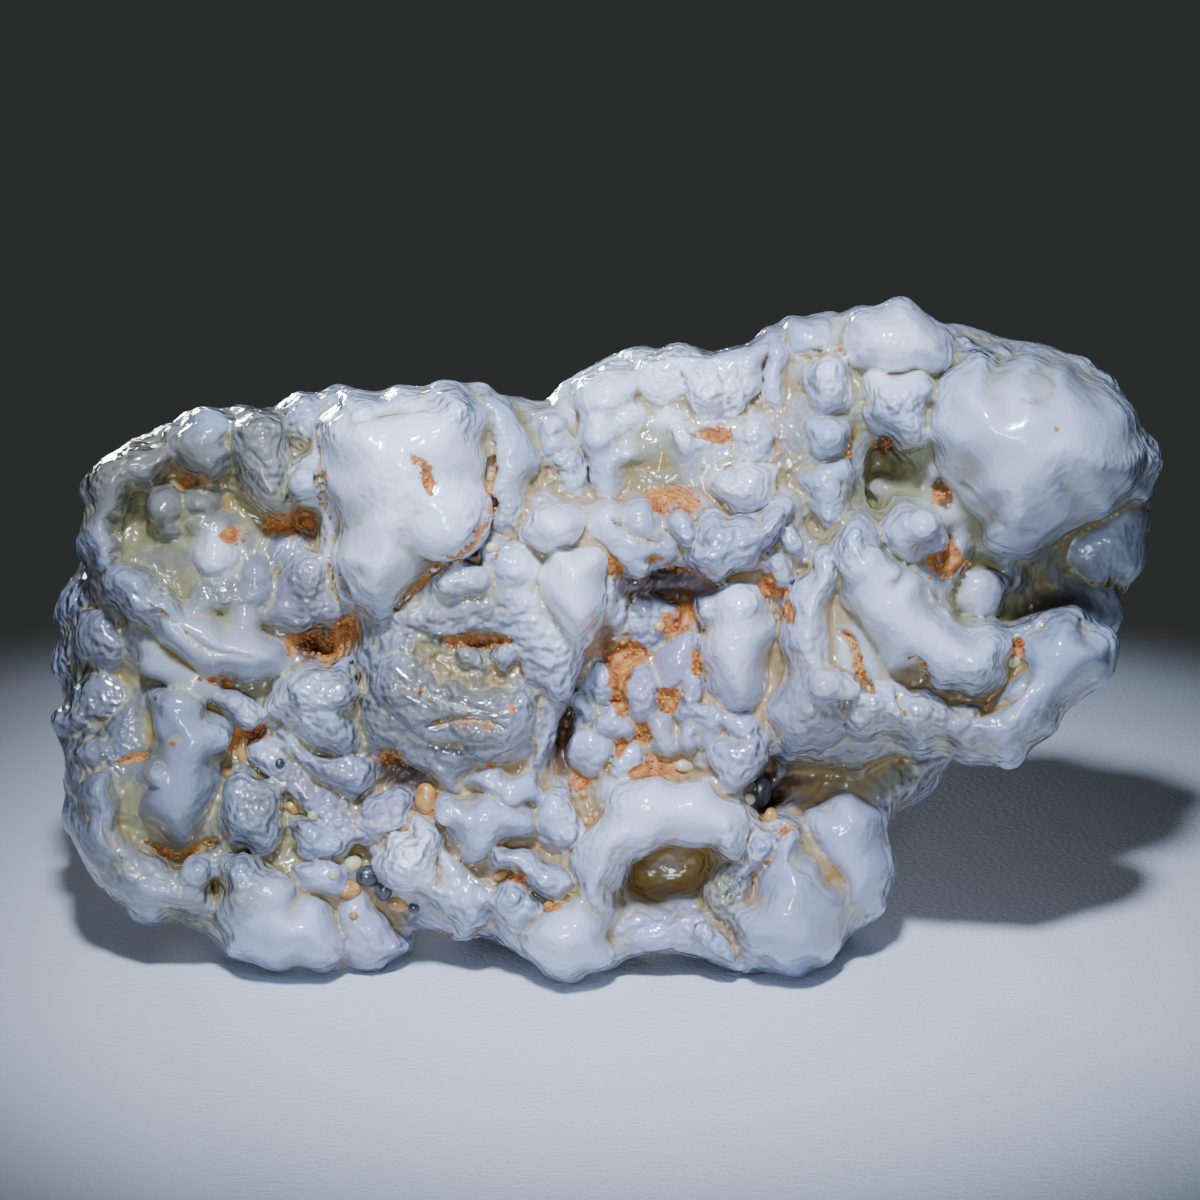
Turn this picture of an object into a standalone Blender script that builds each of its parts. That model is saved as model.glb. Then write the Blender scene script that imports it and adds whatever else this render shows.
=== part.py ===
"""A knobbly piece of Gobi agate: one lump of milky chalcedony with desert grit caught in its cracks.

Lengths are in millimetres up to the last step, which turns them into metres. The front of the
stone is laid out as it looks from VIEWPOINT: a swelling has its place to the right of the
stone's middle, its height up the picture plane, and its real distance back along Y.
"""

import math
import random

import bmesh
import bpy
import numpy as np
from mathutils import Matrix, Vector

MM = 0.001
VIEW_TILT = math.radians(14)
VIEW_DISTANCE = 300.0
PICTURE_CENTRE = Vector((-0.5, 0.0, 23.0))
PICTURE_CENTRE_UP = 26.4
RIGHT = Vector((1, 0, 0))
UP = Vector((0, math.sin(VIEW_TILT), math.cos(VIEW_TILT)))
AWAY = Vector((0, math.cos(VIEW_TILT), -math.sin(VIEW_TILT)))
VIEWPOINT = PICTURE_CENTRE - VIEW_DISTANCE * AWAY

MERGE_VOXEL = 0.5
SMOOTH_ROUNDS = 1
STONE_TRIANGLES = 8600
REST_HEIGHT = 0.8
ROLL_REACH = 3.0
FILL = 0.6
BUMP_SEED = 7

# Each swelling is (right, up, back, half width, half height, half depth, turn in degrees).
INNER_MASSES = [
    (-26.0, 30.3, 3.0, 9.4, 7.9, 10.3, 0),
    (-29.6, 25.4, -1.5, 6.0, 4.6, 7.0, -30),
    (-26.0, 19.0, 3.0, 9.5, 7.0, 10.0, 0),
    (-31.0, 14.5, -2.5, 5.2, 8.5, 7.3, 0),
    (-25.0, 10.8, -2.5, 8.0, 6.8, 7.5, 0),
    (-20.0, 17.8, -2.5, 5.8, 4.2, 6.0, 0),
    (-26.0, 13.0, 3.0, 9.5, 7.5, 9.5, 0),
    (-13.6, 33.0, -2.5, 7.4, 7.6, 7.5, 0),
    (-13.0, 27.0, 2.5, 8.0, 9.0, 10.0, 0),
    (-10.6, 18.8, -2.5, 6.8, 6.4, 7.2, 0),
    (-11.0, 9.4, -3.0, 8.2, 5.6, 7.4, 0),
    (-9.0, 11.5, 2.0, 11.0, 6.5, 9.5, 0),
    (-4.6, 34.2, -1.0, 5.0, 6.0, 8.2, 0),
    (-5.6, 27.0, -3.0, 5.6, 5.6, 7.6, 0),
    (2.6, 20.8, 1.8, 6.4, 8.6, 8.2, 0),
    (4.2, 14.6, -3.6, 7.6, 2.6, 5.4, 0),
    (3.6, 4.7, -6.0, 4.8, 2.1, 6.2, 0),
    (3.5, 22.0, 6.0, 9.0, 10.0, 8.0, 0),
    (4.5, 9.5, 2.0, 7.0, 4.6, 8.2, 0),
    (5.2, 37.2, -1.5, 9.0, 6.2, 8.0, 0),
    (5.4, 31.0, -2.6, 7.4, 3.3, 7.8, 0),
    (14.0, 38.0, -1.0, 3.8, 7.2, 7.6, 0),
    (13.6, 8.6, -2.0, 5.0, 4.6, 7.8, 0),
    (16.4, 22.6, -3.0, 5.4, 8.6, 7.8, 0),
    (23.4, 19.8, -2.0, 6.8, 3.5, 7.4, 0),
    (20.0, 34.5, 4.0, 5.0, 7.0, 8.0, 0),
    (27.6, 37.4, -1.0, 8.0, 5.2, 7.8, -14),
    (27.0, 29.5, 3.5, 6.0, 4.0, 5.6, 0),
    (16.5, 14.8, 0.0, 5.8, 2.9, 6.0, 0),
    (9.4, 21.0, -1.0, 3.4, 6.8, 7.6, 0),
]

LEFT_SHOULDER = [
    (-27.3, 36.9, -6.0, 3.6, 2.8, 4.5, 0),
    (-23.9, 36.9, -7.5, 2.4, 2.4, 3.5, 0),
    (-20.6, 38.1, -3.5, 2.5, 2.7, 4.5, 0),
    (-20.8, 34.6, -10.6, 1.35, 0.95, 1.2, 0),
    (-31.3, 31.8, -6.2, 3.6, 4.8, 3.6, 0),
    (-30.3, 33.2, -9.8, 1.0, 0.95, 0.9, 0),
    (-27.7, 33.0, -8.6, 1.3, 1.2, 1.3, 0),
    (-27.6, 31.4, -8.8, 1.5, 0.8, 1.2, 0),
    (-27.0, 29.8, -10.4, 1.35, 1.4, 1.3, 0),
    (-22.0, 30.2, -7.3, 1.5, 1.5, 1.4, 0),
    (-26.4, 27.3, -9.6, 1.4, 1.35, 1.3, 0),
    (-28.1, 27.4, -9.4, 0.9, 0.9, 0.9, 0),
    (-24.3, 27.6, -9.2, 1.5, 1.5, 1.4, 0),
    (-21.1, 27.8, -8.9, 2.3, 1.9, 1.6, 10),
    (-19.4, 25.9, -8.3, 2.3, 1.9, 1.6, 0),
    (-25.0, 25.0, -7.4, 5.0, 2.4, 4.0, -12),
]

NOSE = [
    (-17.4, 37.7, -8.8, 3.6, 2.8, 5.0, 0),
    (-10.9, 38.2, -9.2, 2.9, 3.1, 5.0, 0),
    (-14.0, 34.6, -11.0, 5.4, 4.6, 5.6, 0),
    (-11.4, 32.8, -12.6, 3.0, 3.0, 3.6, 0),
    (-18.0, 30.2, -12.3, 1.3, 2.6, 2.2, 0),
    (-6.1, 38.1, -3.5, 2.0, 1.7, 3.4, 0),
    (-4.6, 34.2, -7.6, 1.2, 1.2, 1.3, 0),
]

BROW = [
    (-3.9, 31.0, -11.6, 2.4, 2.1, 2.7, 0),
    (-2.3, 27.9, -12.9, 2.25, 2.9, 2.7, -6),
    (-6.3, 28.0, -11.4, 3.2, 2.6, 2.8, 0),
    (-10.4, 27.6, -11.6, 2.1, 1.4, 2.0, 8),
    (-9.0, 25.6, -11.9, 4.2, 1.7, 2.3, -4),
    (-4.9, 24.5, -12.6, 3.2, 2.9, 2.8, 0),
    (-3.1, 24.4, -12.8, 2.3, 3.5, 2.6, 0),
    (-8.7, 22.4, -9.3, 1.8, 1.3, 1.5, -20),
    (-6.8, 22.3, -9.6, 1.2, 1.1, 1.3, 0),
]

CHEEK = [
    (-10.3, 18.8, -8.7, 5.4, 4.5, 3.4, 0),
    (-12.0, 17.5, -9.4, 4.2, 2.4, 2.8, -22),
    (-6.4, 18.4, -9.7, 1.9, 3.6, 2.7, 4),
    (-19.9, 18.2, -7.8, 3.4, 3.9, 4.2, 15),
    (-18.6, 14.5, -9.0, 2.3, 1.5, 2.0, 8),
    (-23.4, 19.5, -7.2, 1.5, 2.5, 2.6, 30),
    (-25.6, 19.2, -8.8, 1.9, 0.9, 1.3, -35),
    (-16.0, 11.4, -9.6, 2.3, 1.5, 1.9, 15),
]

LOWER_LEFT = [
    (-29.6, 13.8, -7.6, 4.2, 5.0, 4.8, 10),
    (-29.8, 18.2, -7.0, 2.6, 2.6, 3.2, 0),
    (-34.7, 23.9, -4.6, 2.2, 3.0, 3.2, 6),
    (-33.2, 20.5, -5.0, 2.7, 3.1, 3.6, 0),
    (-34.3, 17.8, -5.0, 3.0, 1.8, 3.2, 0),
    (-36.4, 18.4, 1.0, 1.7, 2.2, 3.4, 0),
    (-35.6, 25.4, 3.0, 2.2, 3.6, 4.4, 0),
    (-35.6, 12.4, 4.0, 2.2, 2.6, 4.0, 0),
    (-24.6, 11.2, -9.6, 2.3, 2.8, 2.6, -10),
    (-25.7, 13.5, -9.3, 0.95, 1.1, 1.1, 0),
    (-20.4, 9.8, -9.0, 2.3, 1.6, 2.1, 0),
    (-19.9, 7.6, -9.2, 1.9, 1.6, 2.0, 0),
    (-25.5, 6.2, -10.9, 2.3, 3.5, 2.6, 0),
    (-24.0, 3.6, -12.2, 3.2, 2.8, 3.2, 0),
    (-20.3, 3.8, -12.6, 2.6, 3.0, 3.2, 0),
    (-22.8, 6.4, -10.8, 2.2, 2.2, 2.2, 0),
    (-17.1, 3.9, -8.6, 2.1, 2.7, 2.8, 0),
]

LOWER_MIDDLE = [
    (-13.9, 8.5, -11.2, 2.15, 2.3, 2.2, 0),
    (-12.0, 7.3, -10.6, 2.0, 2.0, 2.1, 0),
    (-9.9, 5.5, -10.0, 3.0, 2.3, 3.0, 0),
    (-8.1, 10.3, -10.9, 3.4, 2.7, 3.0, 0),
    (-7.4, 13.1, -10.5, 3.2, 1.9, 2.7, 0),
    (-6.3, 5.5, -11.2, 1.7, 1.7, 1.8, 0),
    (-3.5, 9.2, -12.0, 2.9, 1.5, 2.2, -15),
    (-3.5, 11.6, -10.2, 2.2, 1.4, 2.0, 0),
    (-2.7, 2.9, -13.3, 2.9, 2.9, 3.6, 0),
    (4.0, 3.9, -9.6, 3.8, 1.5, 3.2, 0),
]

LOWER_RIGHT = [
    (8.9, 5.4, -9.4, 2.3, 3.2, 2.8, 0),
    (12.2, 4.4, -12.2, 3.8, 4.1, 4.2, 0),
    (13.5, 8.4, -9.2, 2.6, 3.3, 3.2, -8),
    (10.4, 9.0, -10.4, 1.8, 2.3, 2.2, 0),
    (16.3, 8.3, -5.2, 3.2, 4.4, 4.4, 0),
    (17.2, 6.0, -5.8, 2.0, 1.9, 2.8, 0),
    (9.2, 16.2, -9.2, 1.9, 2.0, 2.0, 0),
    (9.7, 14.8, -9.6, 1.5, 1.5, 1.7, 0),
]

HOLLOW_NODULES = [
    (2.3, 20.0, -7.3, 1.2, 1.7, 1.3, -5),
    (4.5, 22.1, -6.6, 1.6, 1.8, 1.5, -20),
    (2.9, 25.3, -5.2, 2.4, 1.7, 1.7, 10),
    (-0.2, 20.6, -6.0, 1.5, 1.6, 1.5, 0),
    (0.6, 17.7, -7.0, 1.7, 1.3, 1.4, -28),
    (4.0, 17.4, -7.2, 1.1, 1.6, 1.3, 0),
    (5.9, 19.3, -7.4, 1.1, 1.8, 1.4, 0),
    (-1.2, 15.7, -7.2, 1.7, 1.3, 1.6, 0),
    (1.8, 15.8, -7.6, 1.4, 1.4, 1.3, 0),
    (7.3, 17.5, -8.4, 1.2, 1.5, 1.4, 0),
    (9.2, 23.3, -9.3, 2.5, 4.8, 2.9, 0),
    (7.2, 22.0, -8.2, 1.2, 4.0, 2.0, 0),
    (12.2, 29.0, -8.0, 1.3, 1.6, 1.5, 0),
]

TOP_BLOCK = [
    (-0.1, 40.2, -5.0, 3.0, 2.6, 4.4, 0),
    (4.0, 41.0, -5.6, 3.2, 2.5, 4.4, 0),
    (9.0, 41.2, -5.8, 3.2, 2.8, 4.2, 6),
    (0.2, 40.8, -9.3, 1.9, 1.5, 1.5, -20),
    (-0.6, 38.1, -9.5, 1.4, 1.45, 1.4, 0),
    (1.7, 37.0, -9.4, 1.5, 1.3, 1.3, 0),
    (5.6, 37.4, -9.4, 1.9, 1.4, 1.6, -20),
    (8.0, 40.3, -8.8, 2.6, 2.3, 2.2, 0),
    (3.7, 40.5, -8.6, 1.7, 1.7, 1.7, 0),
    (10.0, 34.3, -10.2, 2.8, 2.4, 2.6, 0),
    (10.0, 37.6, -9.2, 1.9, 1.5, 1.7, 0),
    (8.0, 37.0, -8.9, 1.2, 1.2, 1.2, 0),
    (2.2, 30.6, -11.0, 3.2, 2.1, 2.6, -8),
    (8.3, 30.3, -11.4, 3.6, 2.5, 3.0, 12),
    (0.0, 32.3, -9.6, 1.5, 1.1, 1.4, 0),
    (-3.2, 36.6, -8.4, 1.5, 2.9, 2.4, 15),
]

COLUMNS = [
    (14.1, 44.2, -5.0, 1.9, 1.8, 2.6, 0),
    (12.9, 42.4, -5.4, 1.5, 1.7, 2.2, 0),
    (15.4, 41.2, -7.5, 1.7, 2.2, 2.2, 0),
    (15.3, 37.8, -8.0, 1.7, 1.7, 2.0, 0),
    (15.2, 34.2, -8.4, 1.9, 2.4, 2.2, 0),
    (11.5, 41.4, -7.0, 1.2, 2.6, 2.2, 15),
    (12.7, 38.2, -7.6, 1.1, 1.8, 1.7, -15),
    (12.7, 35.8, -8.0, 1.1, 1.1, 1.3, 0),
    (13.0, 33.8, -7.4, 0.9, 1.3, 1.3, 0),
]

HEAD = [
    (19.9, 43.9, -6.0, 3.8, 3.3, 4.2, 0),
    (20.2, 40.4, -7.4, 2.5, 3.2, 3.2, 0),
    (29.0, 37.9, -5.0, 8.0, 5.4, 6.5, -14),
    (24.6, 38.8, -8.2, 3.2, 3.4, 3.4, 0),
    (28.4, 34.4, -7.8, 4.6, 4.2, 4.0, 0),
    (28.5, 32.2, -8.2, 2.6, 2.7, 2.9, 0),
    (30.2, 40.2, -7.6, 4.2, 2.8, 4.0, -8),
    (33.4, 37.6, -4.5, 3.4, 3.8, 5.5, -20),
    (24.6, 43.0, -3.4, 2.5, 2.1, 4.2, -8),
    (29.0, 41.9, -2.0, 3.6, 1.8, 4.2, -14),
    (32.6, 34.2, -3.4, 4.2, 2.5, 5.0, 8),
    (36.7, 35.7, -1.0, 1.3, 1.6, 2.6, 0),
    (33.0, 30.4, 3.0, 4.1, 3.9, 4.0, 20),
    (26.2, 27.4, -5.6, 2.4, 2.0, 2.8, 0),
    (28.6, 28.9, -2.6, 2.4, 1.9, 3.0, 0),
    (21.1, 31.0, -9.4, 2.6, 2.05, 2.4, 0),
    (24.3, 31.3, -1.6, 2.2, 3.2, 2.6, 0),
]

JAW = [
    (31.1, 22.9, -7.8, 2.4, 2.3, 2.8, 0),
    (28.3, 21.0, -8.6, 2.2, 1.9, 2.6, 0),
    (21.5, 19.5, -8.0, 6.5, 3.2, 4.0, 0),
    (20.4, 14.6, 0.0, 4.3, 2.6, 4.0, 18),
    (15.6, 14.4, -3.4, 3.6, 1.9, 3.4, 20),
]

# Each roll is a chain of (right, up, back, radius), run through by one smooth curve.
ROLLS = [
    [(-34.2, 27.6, -8.2, 1.9), (-34.3, 31.0, -8.6, 1.85), (-33.8, 34.2, -8.2, 2.1), (-31.6, 35.4, -7.6, 2.2),
     (-29.2, 36.2, -7.0, 2.4)],
    [(-24.6, 37.2, -7.2, 2.1), (-24.0, 35.2, -9.0, 2.1), (-22.9, 33.8, -10.0, 1.7)],
    [(-33.8, 27.5, -8.6, 1.6), (-31.5, 25.7, -9.6, 1.9), (-28.6, 23.6, -10.2, 2.2), (-26.2, 22.6, -10.0, 1.9),
     (-23.8, 22.2, -9.2, 1.9)],
    [(-14.6, 32.6, -12.4, 4.2), (-14.9, 30.4, -13.0, 3.7), (-15.8, 28.2, -13.4, 3.0)],
    [(-7.9, 39.5, -7.0, 1.2), (-6.6, 37.6, -8.6, 1.5), (-6.3, 35.5, -9.2, 1.5), (-7.0, 33.2, -9.6, 1.5),
     (-7.2, 31.9, -9.6, 1.3)],
    [(-16.2, 19.6, -9.0, 1.0), (-15.5, 17.4, -9.8, 1.2), (-13.2, 15.9, -10.0, 1.3), (-10.8, 14.6, -10.2, 1.3)],
    [(-2.9, 21.4, -9.4, 1.1), (-3.9, 18.4, -9.2, 1.1), (-4.7, 15.4, -9.4, 1.2)],
    [(-34.7, 15.1, -5.8, 1.9), (-34.8, 12.2, -6.6, 1.85), (-34.0, 9.2, -7.6, 2.3), (-31.6, 6.8, -8.6, 2.5),
     (-28.9, 6.2, -9.2, 2.2), (-27.0, 6.8, -9.4, 1.8)],
    [(-1.2, 8.6, -12.8, 1.6), (-1.8, 6.2, -13.2, 1.8), (-2.3, 4.0, -13.0, 2.3)],
    [(-0.8, 9.4, -13.2, 1.6), (1.0, 11.3, -13.2, 2.1), (3.6, 11.7, -13.2, 2.2), (6.5, 11.2, -12.8, 2.2),
     (8.4, 9.9, -12.0, 2.0)],
    [(6.9, 3.6, -11.0, 0.9), (8.3, 2.0, -11.6, 1.0)],
    [(9.5, 30.2, -11.4, 2.0), (11.3, 31.2, -10.8, 1.5), (12.3, 32.3, -9.8, 1.1)],
    [(14.6, 28.6, -9.4, 1.8), (13.9, 25.0, -10.4, 2.1), (14.0, 21.5, -11.2, 2.4), (14.2, 18.7, -11.2, 2.7)],
    [(17.3, 29.8, -9.8, 2.0), (18.0, 27.3, -11.2, 2.8), (20.0, 24.8, -11.6, 3.0), (22.5, 23.0, -11.2, 2.7),
     (25.0, 22.5, -10.6, 2.6), (26.2, 22.9, -9.8, 2.1)],
    [(14.0, 17.6, -11.0, 2.2), (17.0, 18.2, -10.6, 2.0), (20.5, 18.2, -10.6, 2.1), (24.5, 18.0, -10.0, 2.3),
     (27.4, 17.7, -9.6, 2.7), (29.6, 19.6, -9.0, 2.6), (31.4, 21.6, -8.2, 2.4), (33.1, 22.6, -7.4, 1.7)],
]

# The hidden side, in plain coordinates: (x, y, z, half width, half depth, half height).
BACK_MASSES = [
    (-27.0, 8.0, 19.5, 8.3, 8.0, 8.5),
    (-26.0, 8.0, 9.5, 8.8, 8.0, 7.6),
    (-26.5, 6.0, 27.0, 8.3, 7.5, 6.5),
    (-14.0, 9.5, 20.5, 8.5, 7.8, 8.5),
    (-10.5, 9.0, 9.5, 9.0, 8.0, 7.6),
    (-14.0, 6.0, 28.5, 7.5, 7.5, 6.5),
    (-3.5, 6.5, 26.2, 6.0, 7.2, 6.2),
    (2.5, 9.0, 18.5, 9.0, 7.8, 8.5),
    (7.5, 8.0, 9.2, 8.2, 7.5, 7.4),
    (6.0, 5.5, 30.5, 8.0, 7.5, 6.8),
    (14.5, 7.0, 25.0, 7.5, 7.0, 7.5),
    (15.5, 4.0, 33.0, 5.5, 6.5, 6.0),
    (20.5, 6.0, 20.0, 5.5, 6.5, 5.5),
    (25.5, 3.8, 31.0, 7.5, 6.4, 6.2),
]
REAR_FEET = [
    (-24.5, 8.6, 3.2, 5.6, 5.2, 4.0),
    (7.0, 9.0, 3.2, 5.2, 4.8, 4.0),
]
BACK_BUMPS_EACH = 20
BACK_BUMP_RADII = (1.3, 3.1)


def clear_scene():
    for obj in list(bpy.data.objects):
        bpy.data.objects.remove(obj)


def collection(name):
    made = bpy.data.collections.new(name)
    bpy.context.scene.collection.children.link(made)
    return made


def on_sight_line(right, up, back):
    """The point at that distance back that shows at that place in the picture, and its scale there."""
    flat = PICTURE_CENTRE + (right - PICTURE_CENTRE.x) * RIGHT + (up - PICTURE_CENTRE_UP) * UP
    share = (back - VIEWPOINT.y) / (flat.y - VIEWPOINT.y)
    return VIEWPOINT + share * (flat - VIEWPOINT), share


def facing_matrix(right, up, back, half_width, half_height, half_depth, turn):
    """Unit sphere to an ellipsoid whose width and height lie in the picture plane."""
    place, share = on_sight_line(right, up, back)
    facing = Matrix((RIGHT, AWAY, UP)).transposed().to_4x4()
    spin = Matrix.Rotation(math.radians(-turn), 4, "Y")
    size = Matrix.Diagonal((half_width * share, half_depth * share, half_height * share, 1))
    return Matrix.Translation(place) @ facing @ spin @ size


def curve_through(points, steps):
    """Points on a Catmull-Rom curve through a chain of (right, up, back, radius)."""
    ends = [points[0]] + points + [points[-1]]
    for before, start, end, after in zip(ends, ends[1:], ends[2:], ends[3:]):
        for step in range(steps):
            t = step / steps
            yield [
                0.5 * (2 * b + (c - a) * t + (2 * a - 5 * b + 4 * c - d) * t**2 + (3 * b - a - 3 * c + d) * t**3)
                for a, b, c, d in zip(before, start, end, after)
            ]
    yield list(points[-1])


def back_bump_matrices():
    """Rounded bumps spread over the hidden masses, facing backwards and outwards."""
    chance = random.Random(BUMP_SEED)
    golden = math.pi * (3 - math.sqrt(5))
    for x, y, z, half_width, half_depth, half_height in BACK_MASSES:
        phase = chance.uniform(0, math.tau)
        for index in range(BACK_BUMPS_EACH):
            backwards = 1 - 1.1 * (index + 0.5) / BACK_BUMPS_EACH
            ring = math.sqrt(1 - backwards**2)
            angle = phase + index * golden
            radius = chance.uniform(*BACK_BUMP_RADII)
            place = Vector((
                x + half_width * 0.86 * ring * math.cos(angle),
                y + half_depth * 0.9 * backwards,
                z + half_height * 0.86 * ring * math.sin(angle),
            ))
            yield Matrix.Translation(place) @ Matrix.Diagonal((radius, radius * 0.8, radius, 1))


def unit_sphere(subdivisions):
    """Corner places and faces of a ball of radius 1."""
    bm = bmesh.new()
    bmesh.ops.create_icosphere(bm, subdivisions=subdivisions, radius=1)
    places = np.array([vertex.co for vertex in bm.verts])
    faces = np.array([[vertex.index for vertex in face.verts] for face in bm.faces])
    bm.free()
    return places, faces


def turned(grid):
    """The turn of a ball's matrix, without its sizes."""
    return grid[:3, :3] / np.linalg.norm(grid[:3, :3], axis=0)


def mesh_object(name, matrices, subdivisions, home, swell=0.0):
    """One object made of a ball for each matrix, every half size made larger by swell."""
    places, faces = unit_sphere(subdivisions)
    all_places = []
    all_faces = []
    for index, matrix in enumerate(matrices):
        grid = np.array(matrix)
        all_places.append(places @ grid[:3, :3].T + grid[:3, 3] + swell * places @ turned(grid).T)
        all_faces.append(faces + index * len(places))
    mesh = bpy.data.meshes.new(name)
    mesh.from_pydata(np.concatenate(all_places), [], np.concatenate(all_faces))
    obj = bpy.data.objects.new(name, mesh)
    home.objects.link(obj)
    return obj


def as_cutter(obj):
    obj.hide_render = True
    obj.display_type = "WIRE"
    return obj


def evaluated_mesh(obj):
    bpy.context.view_layer.update()
    graph = bpy.context.evaluated_depsgraph_get()
    return bpy.data.meshes.new_from_object(obj.evaluated_get(graph))


def apply_modifiers(obj):
    obj.data = evaluated_mesh(obj)
    obj.modifiers.clear()


def add_remesh(obj, voxel):
    remesh = obj.modifiers.new("merge", "REMESH")
    remesh.mode = "VOXEL"
    remesh.voxel_size = voxel


def add_cut(obj, cutter):
    cut = obj.modifiers.new("cut " + cutter.name, "BOOLEAN")
    cut.operation = "DIFFERENCE"
    cut.object = cutter


def stone_matrices():
    regions = (INNER_MASSES, LEFT_SHOULDER, NOSE, BROW, CHEEK, LOWER_LEFT, LOWER_MIDDLE, LOWER_RIGHT,
               HOLLOW_NODULES, TOP_BLOCK, COLUMNS, HEAD, JAW)
    for region in regions:
        for swelling in region:
            yield facing_matrix(*swelling)
    for roll in ROLLS:
        for right, up, back, radius in curve_through(roll, 5):
            yield facing_matrix(right, up, back, radius, radius, radius, 0)
            yield facing_matrix(right, up, back + ROLL_REACH, radius, radius, radius, 0)
    for x, y, z, half_width, half_depth, half_height in BACK_MASSES + REAR_FEET:
        yield Matrix.Translation((x, y, z)) @ Matrix.Diagonal((half_width, half_depth, half_height, 1))
    yield from back_bump_matrices()


def merged_swellings(home, voxel):
    """All swellings in one skin. They are merged swollen and shrunk back, which fills the narrow gaps."""
    stone = mesh_object("agate", stone_matrices(), 3, home, FILL)
    add_remesh(stone, voxel)
    shrink = stone.modifiers.new("shrink back", "DISPLACE")
    shrink.strength = -FILL
    shrink.mid_level = 0
    add_remesh(stone, voxel)
    apply_modifiers(stone)
    keep_outer_skin(stone)
    return stone


def make_stone(home):
    """The agate, worn a little and brought down to facets."""
    stone = merged_swellings(home, MERGE_VOXEL)
    smooth = stone.modifiers.new("weathering", "SMOOTH")
    smooth.factor = 0.5
    smooth.iterations = SMOOTH_ROUNDS
    apply_modifiers(stone)
    decimate = stone.modifiers.new("facets", "DECIMATE")
    decimate.ratio = STONE_TRIANGLES / (2 * len(stone.data.polygons))
    apply_modifiers(stone)
    return stone


def keep_outer_skin(obj):
    """Drops every closed skin but the largest, so that no bubble is left inside."""
    bm = bmesh.new()
    bm.from_mesh(obj.data)
    unseen = set(bm.verts)
    skins = []
    while unseen:
        front = [unseen.pop()]
        skin = []
        while front:
            vertex = front.pop()
            skin.append(vertex)
            for edge in vertex.link_edges:
                other = edge.other_vert(vertex)
                if other in unseen:
                    unseen.remove(other)
                    front.append(other)
        skins.append(skin)
    skins.sort(key=len)
    spare = [vertex for skin in skins[:-1] for vertex in skin]
    bmesh.ops.delete(bm, geom=spare, context="VERTS")
    bm.to_mesh(obj.data)
    bm.free()


def cut_rest(stone, cutters):
    """Wears the lowest knobs flat, so that the stone stands on them."""
    lowest = min(vertex.co.z for vertex in stone.data.vertices)
    bm = bmesh.new()
    bmesh.ops.create_cube(bm, size=100, matrix=Matrix.Translation((0, 0, lowest + REST_HEIGHT - 50)))
    mesh = bpy.data.meshes.new("ground")
    bm.to_mesh(mesh)
    bm.free()
    ground = as_cutter(bpy.data.objects.new("ground", mesh))
    cutters.objects.link(ground)
    add_cut(stone, ground)
    apply_modifiers(stone)


def material(name, colour, roughness):
    made = bpy.data.materials.new(name)
    made.use_nodes = True
    shader = made.node_tree.nodes["Principled BSDF"]
    shader.inputs["Base Color"].default_value = (*colour, 1)
    shader.inputs["Roughness"].default_value = roughness
    shader.inputs["Metallic"].default_value = 0
    return made


def settle(stone):
    """Puts the origin under the middle of the stone's box, at its resting face, and goes to metres."""
    corners = [vertex.co for vertex in stone.data.vertices]
    low = Vector(min(corner[axis] for corner in corners) for axis in range(3))
    high = Vector(max(corner[axis] for corner in corners) for axis in range(3))
    origin = Vector(((low.x + high.x) / 2, (low.y + high.y) / 2, low.z))
    stone.data.transform(Matrix.Scale(MM, 4) @ Matrix.Translation(-origin))
    stone.data.shade_smooth()


def main():
    clear_scene()
    home = collection("gobi_agate")
    cutters = collection("cutters")
    stone = make_stone(home)
    cut_rest(stone, cutters)
    stone.data.materials.clear()
    stone.data.materials.append(material("milky_agate", (0.78, 0.79, 0.83), 0.22))
    settle(stone)


main()
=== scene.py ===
"""Looks of the Gobi agate: a finer skin over the solid, its tints and clay, and the grit in its cracks.

The stone is shaped in millimetres, as it looks from VIEWPOINT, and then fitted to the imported
solid's box in metres. A place on its front is (right, up) in the picture plane, where right is
counted from the stone's middle and up from the foot that stands nearest.
"""

import math
import random

import bmesh
import bpy
import numpy as np
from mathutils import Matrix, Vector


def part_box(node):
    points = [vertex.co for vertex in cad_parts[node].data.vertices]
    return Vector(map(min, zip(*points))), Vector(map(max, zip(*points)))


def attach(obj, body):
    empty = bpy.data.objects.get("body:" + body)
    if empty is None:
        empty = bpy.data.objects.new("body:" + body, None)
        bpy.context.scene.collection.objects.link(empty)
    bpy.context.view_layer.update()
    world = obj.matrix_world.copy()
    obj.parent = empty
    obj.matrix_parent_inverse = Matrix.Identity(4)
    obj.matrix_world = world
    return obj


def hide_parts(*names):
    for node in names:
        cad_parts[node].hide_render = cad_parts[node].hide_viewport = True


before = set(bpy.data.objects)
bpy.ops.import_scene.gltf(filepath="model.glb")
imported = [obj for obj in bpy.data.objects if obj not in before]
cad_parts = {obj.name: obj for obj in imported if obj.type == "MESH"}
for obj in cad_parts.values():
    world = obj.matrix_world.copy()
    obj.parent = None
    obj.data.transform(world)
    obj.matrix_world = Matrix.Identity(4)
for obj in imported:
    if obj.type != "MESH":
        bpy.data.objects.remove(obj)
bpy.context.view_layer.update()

import openvdb
from mathutils import Matrix, Vector, noise
from mathutils.bvhtree import BVHTree

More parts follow.
